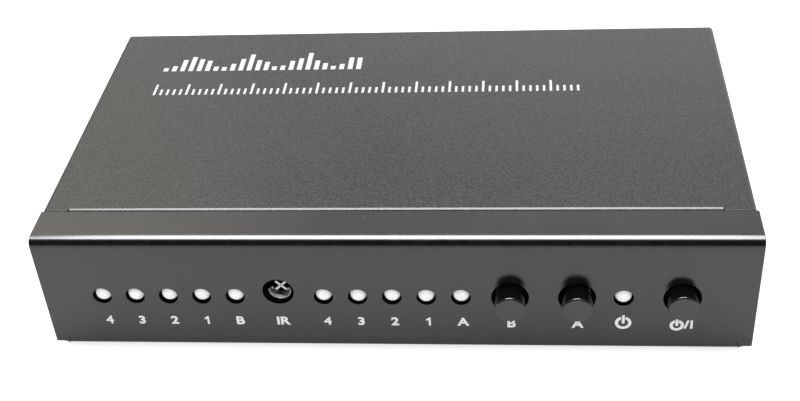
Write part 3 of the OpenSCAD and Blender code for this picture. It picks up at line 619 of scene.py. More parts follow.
@contextmanager
def open_mesh(mesh, *sources):
    """A mesh laid open for editing, filled from its sources, and closed again at the end."""
    bm = bmesh.new()
    for source in sources:
        bm.from_mesh(source)
    yield bm
    bm.to_mesh(mesh)
    bm.free()


def joined(name, meshes):
    whole = bpy.data.meshes.new(name)
    with open_mesh(whole, *meshes) as bm:
        bmesh.ops.remove_doubles(bm, verts=bm.verts, dist=MERGE)
    return whole


print("points within", MERGE, "m are merged")

# %% Settle a mesh on its body
KNIFE_ANGLE = math.radians(60)
FLAT_WEIGHT = 80


def settle(name, mesh, body, material, stands_for=()):
    """Makes a mesh a piece of the object, riding on a body."""
    mesh.shade_smooth()
    mesh.set_sharp_from_angle(angle=KNIFE_ANGLE)
    maker = link(name, mesh)
    even = maker.modifiers.new("normals", "WEIGHTED_NORMAL")
    even.weight = FLAT_WEIGHT
    even.keep_sharp = True
    mesh = plain_mesh(maker)
    mesh.materials.clear()
    mesh.materials.append(material)
    made = link(name, mesh)
    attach(made, body)
    if stands_for:
        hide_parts(*stands_for)
    return made


print("edges over", round(math.degrees(KNIFE_ANGLE)), "degrees stay sharp")

# %% [markdown]
# ## Folding sheet
# A press brake starts from a flat blank, cut and pierced, and folds it along straight lines. The same is
# done here. The blank is triangulated in two dimensions with its holes and with a crease at every step of
# a bend, and a rule then carries each flat point to its folded place. Modelling the box directly would
# need care at every corner; a folded blank has the right reliefs and one even thickness by itself.

# %% Cut a blank
RING_STEPS = 48
SAME_POINT = 1e-5


def ring(centre, radius):
    """A round hole in a blank."""
    turns = [2 * math.pi * i / RING_STEPS for i in range(RING_STEPS)]
    return [(centre[0] + radius * math.cos(t), centre[1] + radius * math.sin(t)) for t in turns]


def inside(point, loop):
    """Whether a point lies in a closed loop, by counting the edges to its right."""
    odd = False
    for (x0, y0), (x1, y1) in zip(loop, loop[1:] + loop[:1]):
        if (y0 > point.y) != (y1 > point.y) and point.x < x0 + (point.y - y0) * (x1 - x0) / (y1 - y0):
            odd = not odd
    return odd


def cut_blank(outline, holes, creases):
    """Flat points and triangles of a blank, in millimetres."""
    points = []
    edges = []
    for loop in [outline, *holes]:
        first = len(points)
        points += [Vector(p) for p in loop]
        edges += [(first + i, first + (i + 1) % len(loop)) for i in range(len(loop))]
    for line in creases:
        edges.append((len(points), len(points) + 1))
        points += [Vector(p) for p in line]
    flat, _, faces, *_ = delaunay_2d_cdt(points, edges, [], 0, SAME_POINT)
    kept = []
    for face in faces:
        middle = sum((flat[i] for i in face), Vector((0, 0))) / len(face)
        if inside(middle, outline) and not any(inside(middle, hole) for hole in holes):
            kept.append(face)
    return flat, kept


print("round holes have", RING_STEPS, "corners")

# %% Fold a blank
SMALL_ANGLE = math.radians(0.3)


def folded(name, blank, fold, thickness, flipped=False):
    """A blank carried to its folded shape by a rule, and given its thickness inwards."""
    flat, faces = blank
    step = -1 if flipped else 1
    mesh = bpy.data.meshes.new(name)
    with open_mesh(mesh) as bm:
        corners = [bm.verts.new(Vector(fold(p.x, p.y)) * MM) for p in flat]
        for face in faces:
            bm.faces.new([corners[i] for i in face[::step]])
        loose = [v for v in bm.verts if not v.link_faces]
        bmesh.ops.delete(bm, geom=loose, context="VERTS")
        bmesh.ops.dissolve_limit(bm, angle_limit=SMALL_ANGLE, verts=bm.verts, edges=bm.edges)
    maker = link(name, mesh)
    wall = maker.modifiers.new("wall", "SOLIDIFY")
    wall.thickness = thickness * MM
    wall.offset = -1
    wall.use_even_offset = True
    return plain_mesh(maker)


print("ready to fold")

# %% [markdown]
# ## The base sheet
# One sheet makes the lip, the front panel, the floor, the rear panel and its flange, so its rule walks
# along five flats and four quarter bends. A bend made over an open die is no true arc: it is tightest in the
# middle and opens out at both ends, and there the mirrored light fades softly. So the bends are walked in
# small steps that turn slowly at first and at last. Two wings of the floor fold up as side walls with screw
# tabs. Below the ends of the panel the sheet isn't bent, and a small relief keeps it from tearing there.

# %% Sizes of the base, from the frame
def box_mm(node):
    """A node's lowest and highest corners, in millimetres."""
    low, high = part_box(node)
    return low / MM, high / MM


base_low, base_high = box_mm("base_chassis")
cover_low, cover_high = box_mm("top_cover")
SHEET = 0.8
WING_BEND = 1.5
WING_ARC = WING_BEND * math.pi / 2
SLIP = 0.1
SIDE_GAP = 0.3
case_half = base_high.x
cover_half = (cover_high.x - cover_low.x) / 2
cover_mid = (cover_high.x + cover_low.x) / 2
tab_half = cover_half - SHEET - SIDE_GAP
floor_half = tab_half - WING_BEND
front, rear = base_low.y, base_high.y
base, top = base_low.z, base_high.z
rear_top = top - SHEET - SLIP
print("panel", round(2 * case_half, 2), "mm wide, cover", round(2 * cover_half, 2), "mm wide")

# %% Walk round a bend
BEND = 2.25
BEND_EASE = 0.8
BEND_STEPS = 16
LIP = 8.7
REAR_FLANGE = 7.0


def walk_bend():
    """Points ahead and aside along a quarter bend that is tightest in its middle, and its length."""
    points = [Vector((0, 0))]
    for i in range(BEND_STEPS):
        share = (i + 0.5) / BEND_STEPS
        turn = math.pi / 2 * (share - BEND_EASE * math.sin(2 * math.pi * share) / (2 * math.pi))
        points.append(points[-1] + Vector((math.cos(turn), math.sin(turn))))
    step = BEND / points[-1].x
    return [step * point for point in points], step * BEND_STEPS


bend_points, ARC = walk_bend()
flats = [LIP - BEND, top - base - 2 * BEND, rear - front - 2 * BEND,
         rear_top - base - 2 * BEND, REAR_FLANGE - BEND]
flat_starts = [sum(flats[:i]) + i * ARC for i in range(len(flats))]
_, panel_at, floor_at, rear_at, flange_at = flat_starts
sheet_end = flange_at + flats[-1]
print("blank of the base:", round(sheet_end, 1), "mm long")

# %% The rule that folds the base
RELIEF = 0.05


def walk_base(v):
    """Y and Z after a length v along the sheet's outer face, from the edge of the lip."""
    y, z, heading = front + LIP, top, math.pi
    for length in flats:
        run = min(v, length)
        y += run * math.cos(heading)
        z += run * math.sin(heading)
        v -= run
        if v <= 0:
            return y, z
        reach = min(v / ARC, 1) * BEND_STEPS
        step = min(int(reach), BEND_STEPS - 1)
        ahead, aside = bend_points[step].lerp(bend_points[step + 1], reach - step)
        y += ahead * math.cos(heading) - aside * math.sin(heading)
        z += ahead * math.sin(heading) + aside * math.cos(heading)
        heading += math.pi / 2
        v = max(0, v - ARC)
    return y, z


def fold_base(u, v):
    side = abs(u) - floor_half
    past_panel = v - panel_at - flats[1]
    if side > RELIEF / 2 and 0 < past_panel < ARC:
        return u, front, base + BEND - past_panel
    y, z = walk_base(v)
    if side <= 0 or not floor_at < v < rear_at - ARC:
        return u, y, z
    turn = min(side, WING_ARC) / WING_BEND
    x = floor_half + WING_BEND * math.sin(turn)
    return math.copysign(x, u), y, base + WING_BEND * (1 - math.cos(turn)) + max(0, side - WING_ARC)


print("end of the flange:", [round(part, 2) for part in walk_base(sheet_end)])

# %% Places on the blank
SOCKET_GAP = 0.2
SCREW_INSET = 21.0


def middle_of(node):
    low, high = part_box(node)
    return (low + high) / 2 / MM


def on_panel(point):
    return point.x, panel_at + top - BEND - point.z


def on_floor(y):
    return floor_at + y - front - BEND


def on_rear(x, z):
    return x, rear_at + z - base - BEND


def rear_cut(node):
    """A square opening round a socket."""
    low, high = box_mm(node)
    g = SOCKET_GAP
    return [on_rear(low.x - g, low.z - g), on_rear(high.x + g, low.z - g),
            on_rear(high.x + g, high.z + g), on_rear(low.x - g, high.z + g)]


leds = [n for n in nodes if n.startswith("led_") and n != "led_leads"]
buttons = ["button_b", "button_a", "button_power"]
sockets = [n for n in nodes if n.startswith("optical_") and n + "_shutter" in nodes]
ir_middle = middle_of("ir_receiver")
screw_ys = [front + SCREW_INSET, rear - SCREW_INSET]
screw_z = middle_of("cover_screws").z
print("lamps:", len(leds), "buttons:", len(buttons), "optical sockets:", len(sockets))

# %% Outline of the base
LIP_CORNER = 0.3
LIP_CORNER_STEPS = 4
CORNER_LIFT = 1.1
CORNER_SLOPE = (1.1, 0.4)
WALL = 6.0
WALL_RELIEF = 1.5
TAB_WIDTH = 14.0
TAB_OVER = 4.5


def base_outline():
    """The right half from the lip to the flange, and its mirror image back again."""
    wall_edge = floor_half + WING_ARC + WALL - WING_BEND
    tab_edge = floor_half + WING_ARC + screw_z + TAB_OVER - base - WING_BEND
    panel_end = panel_at + flats[1]
    strip = panel_end + BEND - CORNER_LIFT
    turns = [math.pi / 2 * i / LIP_CORNER_STEPS for i in range(LIP_CORNER_STEPS + 1)]
    corner = case_half - LIP_CORNER
    right = [(corner + LIP_CORNER * math.sin(t), LIP_CORNER * (1 - math.cos(t))) for t in turns]
    relief = floor_half + RELIEF
    slope_u, slope_v = CORNER_SLOPE
    wall_start = floor_at + WALL_RELIEF
    right += [(case_half, strip), (relief + slope_u, strip), (relief, strip + slope_v),
              (relief, panel_end), (floor_half, panel_end),
              (floor_half, wall_start), (wall_edge, wall_start)]
    for y in screw_ys:
        for edge, end in [(wall_edge, -1), (tab_edge, -1), (tab_edge, 1), (wall_edge, 1)]:
            right.append((edge, on_floor(y) + end * TAB_WIDTH / 2))
    floor_end = rear_at - ARC - WALL_RELIEF
    right += [(wall_edge, floor_end), (floor_half, floor_end), (floor_half, rear_at),
              (tab_half, rear_at), (tab_half, flange_at - ARC), (floor_half, flange_at - ARC),
              (floor_half, sheet_end)]
    return right + [(-u, v) for u, v in reversed(right)]


base_edge = base_outline()
print("outline of the base:", len(base_edge), "corners")

# %% Holes of the base
LED_HOLE = 1.77
CAP_HOLE = 3.4
IR_HOLE = 2.9
TAPPED_HOLE = 1.5
SPIGOT_HOLE = 2.15
STANDOFF = 2.75


def four_places(node, radius):
    """Middles, in millimetres, of four round pieces that stand at the corners of a node's box."""
    low, high = box_mm(node)
    xs = (low.x + radius, high.x - radius)
    ys = (low.y + radius, high.y - radius)
    return [(x, y) for x in xs for y in ys]


def base_holes():
    tab_u = floor_half + WING_ARC + screw_z - base - WING_BEND
    holes = [ring(on_panel(middle_of(n)), LED_HOLE) for n in leds]
    holes += [ring(on_panel(middle_of(n + "_cap")), CAP_HOLE) for n in buttons]
    holes.append(ring(on_panel(ir_middle), IR_HOLE))
    holes += [rear_cut(n) for n in sockets + ["dc_jack"]]
    holes += [ring((side * tab_u, on_floor(y)), TAPPED_HOLE) for side in (-1, 1) for y in screw_ys]
    standing = four_places("board_standoffs", STANDOFF)
    return holes + [ring((x, on_floor(y)), SPIGOT_HOLE) for x, y in standing]


base_openings = base_holes()
print("holes in the base:", len(base_openings))

# %% Cut and fold the base
CREASE_END = 200
PAINT_EDGE = 0.07


def bend_lines(start, arc, across):
    """Creases over one quarter bend that starts at a length, drawn along or across the blank."""
    steps = [start + arc * i / BEND_STEPS for i in range(BEND_STEPS + 1)]
    if across:
        return [((-CREASE_END, v), (CREASE_END, v)) for v in steps]
    return [((u, -CREASE_END), (u, 2 * CREASE_END)) for u in steps]


base_creases = [line for start in flat_starts[1:] for line in bend_lines(start - ARC, ARC, True)]
for start in (floor_half, -floor_half - WING_ARC):
    base_creases += bend_lines(start, WING_ARC, False)
base_blank = cut_blank(base_edge, base_openings, base_creases)
base_mesh = folded("base_sheet", base_blank, fold_base, SHEET, flipped=True)
base_mesh = rounded(base_mesh, PAINT_EDGE * MM, FINE_EDGE_STEPS)
print("base sheet:", len(base_mesh.polygons), "faces")

# %% [markdown]
# ## The cover
# The cover is a wide U. Its front edge is joggled: two small opposite bends drop a tongue by one sheet,
# so that it passes under the lip and the two tops lie flush. In front of the seam each side runs on as a
# flat ear behind the panel. The side holes are countersunk for the case screws, which is done after the
# wall has its thickness by drawing the inner rim of each hole in.

# %% Sizes of the cover
COVER_BEND = 1.0
COVER_ARC = COVER_BEND * math.pi / 2
SEAM_GAP = 0.1
TONGUE_INSET = 5.5
TONGUE_SHIFT = -0.4
TONGUE_SLIT = 0.12
JOGGLE_OUT = 1.0
JOGGLE_IN = 0.2
EAR_NOTCH = 0.3

drop = SHEET + SLIP
joggle_angle = math.acos(1 - drop / (JOGGLE_OUT + JOGGLE_IN))
joggle_run = (JOGGLE_OUT + JOGGLE_IN) * math.sin(joggle_angle)
joggle_length = (JOGGLE_OUT + JOGGLE_IN) * joggle_angle
seam = front + LIP + SEAM_GAP
joggle = seam + joggle_run - JOGGLE_IN * math.sin(math.acos(1 - SLIP / JOGGLE_IN))
top_half = cover_half - COVER_BEND
side_start = top_half + COVER_ARC
side_end = side_start + top - COVER_BEND - cover_low.z
tongue_half = cover_half - TONGUE_INSET
print("joggle of", round(math.degrees(joggle_angle), 1), "degrees")

# %% The rule that folds the cover
def walk_tongue(w):
    """Y and Z after a length w along the outer face, from the start of the joggle."""
    first = JOGGLE_OUT * joggle_angle
    if w <= first:
        t = w / JOGGLE_OUT
        return joggle - JOGGLE_OUT * math.sin(t), top - JOGGLE_OUT * (1 - math.cos(t))
    end = joggle - joggle_run
    if w <= joggle_length:
        t = joggle_angle - (w - first) / JOGGLE_IN
        return end + JOGGLE_IN * math.sin(t), top - drop + JOGGLE_IN * (1 - math.cos(t))
    return end - (w - joggle_length), top - drop


def fold_cover(u, v):
    side = abs(u) - top_half
    if side <= 0:
        on_tongue = abs(u - TONGUE_SHIFT) < tongue_half + TONGUE_SLIT / 2
        y, z = walk_tongue(joggle - v) if on_tongue and v < joggle else (v, top)
        return cover_mid + u, y, z
    flat_ear = v < seam - EAR_NOTCH / 2
    past = side - COVER_ARC
    turn = math.pi / 2 if flat_ear else min(side, COVER_ARC) / COVER_BEND
    x = top_half + COVER_BEND * math.sin(turn)
    z = top - COVER_BEND * (1 - math.cos(turn)) - (past if flat_ear else max(0, past))
    return cover_mid + math.copysign(x, u), v, z


print("corner of the cover:", [round(part, 2) for part in fold_cover(side_end, rear)])

# %% Outline and creases of the cover
TONGUE_DEPTH = 4.0


def cover_outline():
    slit = tongue_half + TONGUE_SLIT
    tongue_end = joggle - joggle_length - TONGUE_DEPTH
    ear_top = side_start - COVER_BEND + drop
    tongue = [(tongue_half, tongue_end), (tongue_half, joggle), (slit, joggle), (slit, seam)]
    ear = [(side_start, seam), (side_start, seam - EAR_NOTCH), (ear_top, seam - EAR_NOTCH),
           (ear_top, cover_low.y), (side_end, cover_low.y), (side_end, rear)]
    right = [(TONGUE_SHIFT + u, v) for u, v in tongue] + ear
    left = [(TONGUE_SHIFT - u, v) for u, v in tongue] + [(-u, v) for u, v in ear]
    return right + left[::-1]


def cover_creases():
    lines = [line for start in (top_half, -side_start) for line in bend_lines(start, COVER_ARC, False)]
    steps = [JOGGLE_OUT * joggle_angle * i / BEND_STEPS for i in range(BEND_STEPS + 1)]
    steps += [joggle_length - JOGGLE_IN * joggle_angle * i / BEND_STEPS for i in range(BEND_STEPS)]
    return lines + [((-CREASE_END, joggle - w), (CREASE_END, joggle - w)) for w in steps]


print("outline of the cover:", len(cover_outline()), "corners")

# %% Cut, fold and countersink the cover
HOLE_OUT = 2.5
HOLE_IN = 1.7
RIM_REACH = SHEET / 4


def countersink(mesh):
    """Draws the inner rim of each side hole in to a smaller radius."""
    for vertex in mesh.vertices:
        x, y, z = vertex.co / MM
        if abs(abs(x - cover_mid) - cover_half + SHEET) > RIM_REACH:
            continue
        for screw_y in screw_ys:
            arm = Vector((0, y - screw_y, z - screw_z))
            if arm.length < HOLE_OUT + RIM_REACH:
                vertex.co += (HOLE_IN / HOLE_OUT - 1) * arm * MM


hole_u = side_start + top - COVER_BEND - screw_z
cover_holes = [ring((side * hole_u, y), HOLE_OUT) for side in (-1, 1) for y in screw_ys]
cover_blank = cut_blank(cover_outline(), cover_holes, cover_creases())
cover_mesh = folded("cover_sheet", cover_blank, fold_cover, SHEET)
countersink(cover_mesh)
cover_mesh = rounded(cover_mesh, PAINT_EDGE * MM, FINE_EDGE_STEPS)
cover = settle("top_cover_sheet", cover_mesh, "case", finishes["cover_coat"], ["top_cover"])
print("cover sheet:", len(cover.data.polygons), "faces")

# %% [markdown]
# ## A recipe for turned pieces
# Lamps, caps, feet, collars and the eye's dome are all round, and all but the last repeat. Spinning each
# by hand would repeat the same steps, so one Geometry Nodes tree does it: it bends a grid round an axis,
# gives every row the radius and height of a point of a profile, closes the seam and the poles by merging,
# and sets the result on a cloud of places. A seeded jitter lets lamps sit as loosely as hand-soldered ones.

# %% Geometry trees with named inputs
class Recipe(Bench):
    """A Geometry Nodes tree whose inputs are set by name."""

    def __init__(self, name, inputs):
        super().__init__(bpy.data.node_groups.new(name, "GeometryNodeTree"))
        self.keys = {}
        for label, kind in inputs.items():
            socket = self.tree.interface.new_socket(label, in_out="INPUT", socket_type=kind)
            self.keys[label] = socket.identifier
        self.tree.interface.new_socket("Geometry", in_out="OUTPUT", socket_type="NodeSocketGeometry")
        self.given = self.node("NodeGroupInput")

    def ask(self, label):
        return self.given.also(label)

    def serve(self, geometry):
        whole = self.node("GeometryNodeRealizeInstances", inputs={0: geometry})
        inputs = {"Geometry": whole, "Material": self.ask("Finish")}
        dressed = self.node("GeometryNodeSetMaterial", inputs=inputs)
        self.node("NodeGroupOutput", inputs={0: dressed})

    def make(self, name, mesh, values):
        """Follows the recipe on a mesh of places, and gives a plain mesh."""
        maker = link(name, mesh)
        modifier = maker.modifiers.new("recipe", "NODES")
        modifier.node_group = self.tree
        for label, value in values.items():
            modifier[self.keys[label]] = value
        return plain_mesh(maker)


print("recipes can be written")

# %% A tree that turns profiles
ROW_NUDGE = 0.25


def turning_recipe():
    recipe = Recipe("turned_pieces", {
        "Places": "NodeSocketGeometry", "Profile": "NodeSocketObject", "Steps": "NodeSocketInt",
        "Turn": "NodeSocketVector", "Jitter": "NodeSocketVector", "Seed": "NodeSocketInt",
        "Finish": "NodeSocketMaterial"})
    profile = recipe.node("GeometryNodeObjectInfo", inputs={"Object": recipe.ask("Profile")}, out="Geometry")
    rows = recipe.node("GeometryNodeAttributeDomainSize", inputs={0: profile}, out="Point Count")
    grid = recipe.node("GeometryNodeMeshGrid", inputs={
        "Size X": 2 * math.pi, "Size Y": rows - 1,
        "Vertices X": recipe.ask("Steps") + 1, "Vertices Y": rows})
    here = recipe.node("GeometryNodeInputPosition")
    angle = recipe.node("ShaderNodeSeparateXYZ", inputs={0: here}, out="X")
    row = angle.also("Y") + 0.5 * (rows - 1) + ROW_NUDGE
    point = recipe.node("GeometryNodeSampleIndex", {"data_type": "FLOAT_VECTOR"},
                        {"Geometry": profile, "Value": here, "Index": row})
    swung = recipe.node("ShaderNodeVectorRotate", {"rotation_type": "Z_AXIS"},
                        {"Vector": point, "Angle": angle})
    shell = recipe.node("GeometryNodeSetPosition", inputs={"Geometry": grid, "Position": swung})
    closed = recipe.node("GeometryNodeMergeByDistance", inputs={"Geometry": shell, "Distance": MERGE})
    most = recipe.ask("Jitter")
    least = recipe.node("ShaderNodeVectorMath", {"operation": "SCALE"}, {0: most, "Scale": -1.0})
    drift = recipe.node("FunctionNodeRandomValue", {"data_type": "FLOAT_VECTOR"},
                        {0: least, 1: most, "Seed": recipe.ask("Seed")})
    places = recipe.node("GeometryNodeSetPosition", inputs={0: recipe.ask("Places"), "Offset": drift})
    turn = recipe.node("FunctionNodeEulerToRotation", inputs={0: recipe.ask("Turn")})
    recipe.serve(recipe.node("GeometryNodeInstanceOnPoints", inputs={
        "Points": places, "Instance": closed, "Rotation": turn}))
    return recipe


turning = turning_recipe()
print("recipe for turned pieces:", len(turning.tree.nodes), "nodes")

# %% Profiles with fillets
FILLET_STEP = math.radians(9)
LEAST_FILLET_STEPS = 2


def contour(corners):
    """Points along corners of (radius, height, fillet) in millimetres, with each fillet as an arc."""
    points = []
    for i, (radius, height, fillet) in enumerate(corners):
        corner = Vector((radius, height))
        if not fillet:
            points.append(corner)
            continue
        before = (Vector(corners[i - 1][:2]) - corner).normalized()
        after = (Vector(corners[i + 1][:2]) - corner).normalized()
        half = before.angle(after) / 2
        centre = corner + (before + after).normalized() * fillet / math.sin(half)
        arm = corner + before * fillet / math.tan(half) - centre
        sweep = arm.angle_signed(corner + after * fillet / math.tan(half) - centre)
        steps = max(LEAST_FILLET_STEPS, round(abs(sweep) / FILLET_STEP))
        points += [centre + Matrix.Rotation(-sweep * k / steps, 2) @ arm for k in range(steps + 1)]
    return points


print("fillet arcs in steps of", round(math.degrees(FILLET_STEP)), "degrees")

# %% Turn a profile
TURN_STEPS = 48
FORWARD = (math.pi / 2, 0, 0)
STILL = (0, 0, 0)


def bare_points(name, points):
    """A mesh of bare points, from millimetres."""
    mesh = bpy.data.meshes.new(name)
    mesh.from_pydata([Vector(p) * MM for p in points], [], [])
    return mesh


def outward(mesh):
    """Turns the faces of closed shells outwards."""
    with open_mesh(mesh, mesh) as bm:
        bmesh.ops.recalc_face_normals(bm, faces=bm.faces)
    return mesh


def turned(name, corners, places, turn, finish, jitter=STILL, seed=0):
    """Round pieces with one profile, set on their places."""
    profile = link("profile", bare_points("profile", [(p.x, 0, p.y) for p in contour(corners)]))
    mesh = turning.make(name, bare_points(name, places), {
        "Profile": profile, "Steps": TURN_STEPS, "Turn": turn, "Finish": finish,
        "Jitter": [part * MM for part in jitter], "Seed": seed})
    bpy.data.objects.remove(profile)
    return outward(mesh)


print("turned pieces have", TURN_STEPS, "sides")

# %% [markdown]
# ## Collars, feet, lamps and caps
# A collar is sheet drawn inwards round each tapped hole. The feet are pads with a hollow middle that keeps
# them flat on a table. A lamp is a milky dome with a painted glow and a flange at its back. A cap is a short
# hollow rod with a rounded front edge, which catches the line of light that makes it read as a button.

# %% Finish the base with its collars
COLLAR = 2.4
COLLAR_DEPTH = 0.8
COLLAR_EDGE = 0.15
collar_x = tab_half - SHEET
collar_corners = [(TAPPED_HOLE, 0, 0), (COLLAR, 0, 0), (COLLAR, COLLAR_DEPTH, COLLAR_EDGE),
                  (TAPPED_HOLE, COLLAR_DEPTH, COLLAR_EDGE), (TAPPED_HOLE, 0, 0)]
collars = []
for side in (-1, 1):
    places = [(side * collar_x, y, screw_z) for y in screw_ys]
    turn = (0, -side * math.pi / 2, 0)
    collars.append(turned("collars", collar_corners, places, turn, finishes["panel_coat"]))
base_piece = settle("base_sheet", joined("base_sheet", [base_mesh, *collars]), "case",
                    finishes["panel_coat"], ["base_chassis"])
print("base with collars:", len(base_piece.data.polygons), "faces")

# %% Feet
FOOT = 4.5
FOOT_DIMPLE = (2.2, 0.35)
DIMPLE_FILLET = 0.2
FOOT_CHAMFER = 0.3
FOOT_EDGE = 0.15
SMALL_EDGE = 0.1
dimple_r, dimple_d = FOOT_DIMPLE
foot_corners = [(0, dimple_d, 0), (dimple_r - dimple_d, dimple_d, DIMPLE_FILLET), (dimple_r, 0, FOOT_EDGE),
                (FOOT - FOOT_CHAMFER, 0, FOOT_EDGE), (FOOT, FOOT_CHAMFER, FOOT_EDGE),
                (FOOT, base, SMALL_EDGE), (0, base, 0)]
foot_places = [(x, y, 0) for x, y in four_places("rubber_feet", FOOT)]
feet_mesh = turned("feet", foot_corners, foot_places, STILL, finishes["foot_rubber"])
settle("rubber_foot_pads", feet_mesh, "case", finishes["foot_rubber"], ["rubber_feet"])
print("feet at", [tuple(round(v, 2) for v in p) for p in foot_places])

# %% Lamps
LAMP = 1.5
LAMP_FLANGE = (1.9, 1.0)
LAMP_ROUND = 1.0
LAMP_JITTER = (0.07, 0.05, 0.07)
LAMP_SEED = 4
lamp_low, lamp_high = box_mm(leds[0])
lamp_long = lamp_high.y - lamp_low.y - LAMP_JITTER[1]
flange_r, flange_t = LAMP_FLANGE
flange_front = flange_t - lamp_long
lamp_corners = [(0, -lamp_long, 0), (flange_r, -lamp_long, SMALL_EDGE), (flange_r, flange_front, SMALL_EDGE),
                (LAMP, flange_front, SMALL_EDGE), (LAMP, 0, LAMP_ROUND), (0, 0, 0)]
lamp_tip = lamp_low.y + LAMP_JITTER[1]
lamp_places = [(middle_of(n).x, lamp_tip, middle_of(n).z) for n in leds]
lamps_mesh = turned("lamps", lamp_corners, lamp_places, FORWARD, finishes["lamp_lens"],
                    LAMP_JITTER, LAMP_SEED)
settle("lamp_domes", lamps_mesh, "case", finishes["lamp_lens"], leds)
print("lamps:", len(leds))

# %% Caps, one on each button's body
CAP = 2.75
CAP_EDGE = 0.35
CAP_BORE = (1.85, 5.0)
bore_r, bore_d = CAP_BORE
for button in buttons:
    node = button + "_cap"
    cap_low, cap_high = box_mm(node)
    cap_long = cap_high.y - cap_low.y
    cap_corners = [(0, 0, 0), (CAP, 0, CAP_EDGE), (CAP, -cap_long, SMALL_EDGE),
                   (bore_r, -cap_long, SMALL_EDGE), (bore_r, bore_d - cap_long, SMALL_EDGE),
                   (0, bore_d - cap_long, 0)]
    place = (middle_of(node).x, cap_low.y, middle_of(node).z)
    cap_mesh = turned(button, cap_corners, [place], FORWARD, finishes["cap_plastic"])
    settle(node + "_turned", cap_mesh, button, finishes["cap_plastic"], [node])
print("caps:", len(buttons), "of", round(cap_long, 2), "mm")

# %% [markdown]
# ## Return springs
# Behind each plunger a small spring of drawn wire pushes the button out again. A helix could be a list of
# points, but a spiral curve with a round section swept along it takes two nodes.

# %% A tree that winds springs
RINGS_A_TURN = 24
WIRE_SIDES = 10


def winding_recipe():
    recipe = Recipe("wound_springs", {
        "Places": "NodeSocketGeometry", "Radius": "NodeSocketFloat", "Height": "NodeSocketFloat",
        "Turns": "NodeSocketFloat", "Wire": "NodeSocketFloat", "Turn": "NodeSocketVector",
        "Finish": "NodeSocketMaterial"})
    radius = recipe.ask("Radius")
    helix = recipe.node("GeometryNodeCurveSpiral", inputs={
        "Resolution": RINGS_A_TURN, "Rotations": recipe.ask("Turns"), "Start Radius": radius,
        "End Radius": radius, "Height": recipe.ask("Height")})
    section = recipe.node("GeometryNodeCurvePrimitiveCircle", inputs={
        "Resolution": WIRE_SIDES, "Radius": recipe.ask("Wire")})
    wire = recipe.node("GeometryNodeCurveToMesh", inputs={
        "Curve": helix, "Profile Curve": section, "Fill Caps": True})
    turn = recipe.node("FunctionNodeEulerToRotation", inputs={0: recipe.ask("Turn")})
    recipe.serve(recipe.node("GeometryNodeInstanceOnPoints", inputs={
        "Points": recipe.ask("Places"), "Instance": wire, "Rotation": turn}))
    return recipe


winding = winding_recipe()
print("recipe for springs:", len(winding.tree.nodes), "nodes")

# %% Wind a spring for each button
SPRING_TURNS = 5
SPRING_WIRE = 0.2

for button in buttons:
    node = button + "_spring"
    slot = slot_of[node]
    spring_low, spring_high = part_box(node)
    long = spring_high.y - spring_low.y
    wire = SPRING_WIRE * MM
    middle = (spring_low + spring_high) / 2
    foot = (middle.x / MM, spring_high.y / MM - SPRING_WIRE, middle.z / MM)
    spring_mesh = winding.make(node, bare_points(node, [foot]), {
        "Radius": (spring_high.x - spring_low.x) / 2 - wire, "Height": long - 2 * wire,
        "Turns": SPRING_TURNS, "Wire": wire, "Turn": FORWARD, "Finish": finishes[slot]})
    spring = settle(node + "_wound", outward(spring_mesh), "case", finishes[slot], [node])
    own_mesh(spring)

# %% [markdown]
# ## The infrared eye
# Behind its round window sits a block of black resin with a dome, and below the dome a short lip. A tin
# screen lies in the lip: half a funnel, whose slope throws the light back as a bright smile, and a flat
# cross over the dome. A funnel is a turned piece too, so it is turned whole and cut off above the axis. The
# bars of the cross are bevelled strips, turned about the line of sight and leaning back a little.

# %% Blocks and cuts
def block(name, low, high, edge):
    """A box with rounded edges, in millimetres."""
    size = Matrix.Diagonal((*(high - low), 1))
    mesh = bpy.data.meshes.new(name)
    with open_mesh(mesh) as bm:
        bmesh.ops.create_cube(bm, size=1, matrix=Matrix.Translation((low + high) / 2) @ size)
        bmesh.ops.scale(bm, vec=(MM, MM, MM), verts=bm.verts)
    return rounded(mesh, edge * MM, FINE_EDGE_STEPS)


def cut_above(mesh, height):
    """The part of a closed shell below a height in millimetres, closed again."""
    with open_mesh(mesh, mesh) as bm:
        whole = bm.verts[:] + bm.edges[:] + bm.faces[:]
        cut = bmesh.ops.bisect_plane(bm, geom=whole, plane_co=(0, 0, height * MM), plane_no=(0, 0, 1),
                                     clear_outer=True)
        rims = [part for part in cut["geom_cut"] if isinstance(part, bmesh.types.BMEdge)]
        bmesh.ops.edgeloop_fill(bm, edges=rims)
    return outward(mesh)


print("ready to cut")

# %% Dome, lip and block
IR_LENS = 2.5
EYE_EDGE = 0.4
EYE_ASIDE = 0.25
EYE_CUT = 0.35
LIP_OUTSIDE = 2.15
SCREEN = 0.1
SCREEN_SET_BACK = 0.05
SCREEN_MOUTH = (1.95, 4.3, 0.02)
SCREEN_THROAT = (1.58, 3.7, 0.1)
SCREEN_WINDOW = (1.3, 2.9, 0)

resin = finishes["receiver_resin"]
ir_low, ir_high = box_mm("ir_receiver")
eye_base = ir_low.y + IR_LENS
eye_corners = [(0, -EYE_EDGE, 0), (IR_LENS, -EYE_EDGE, 0), (IR_LENS, IR_LENS, IR_LENS), (0, IR_LENS, 0)]
dome = turned("eye", eye_corners, [(ir_middle.x, eye_base, ir_middle.z)], FORWARD, resin)
body = block("eye_block", Vector((ir_low.x, eye_base, ir_low.z)), ir_high, EYE_EDGE)

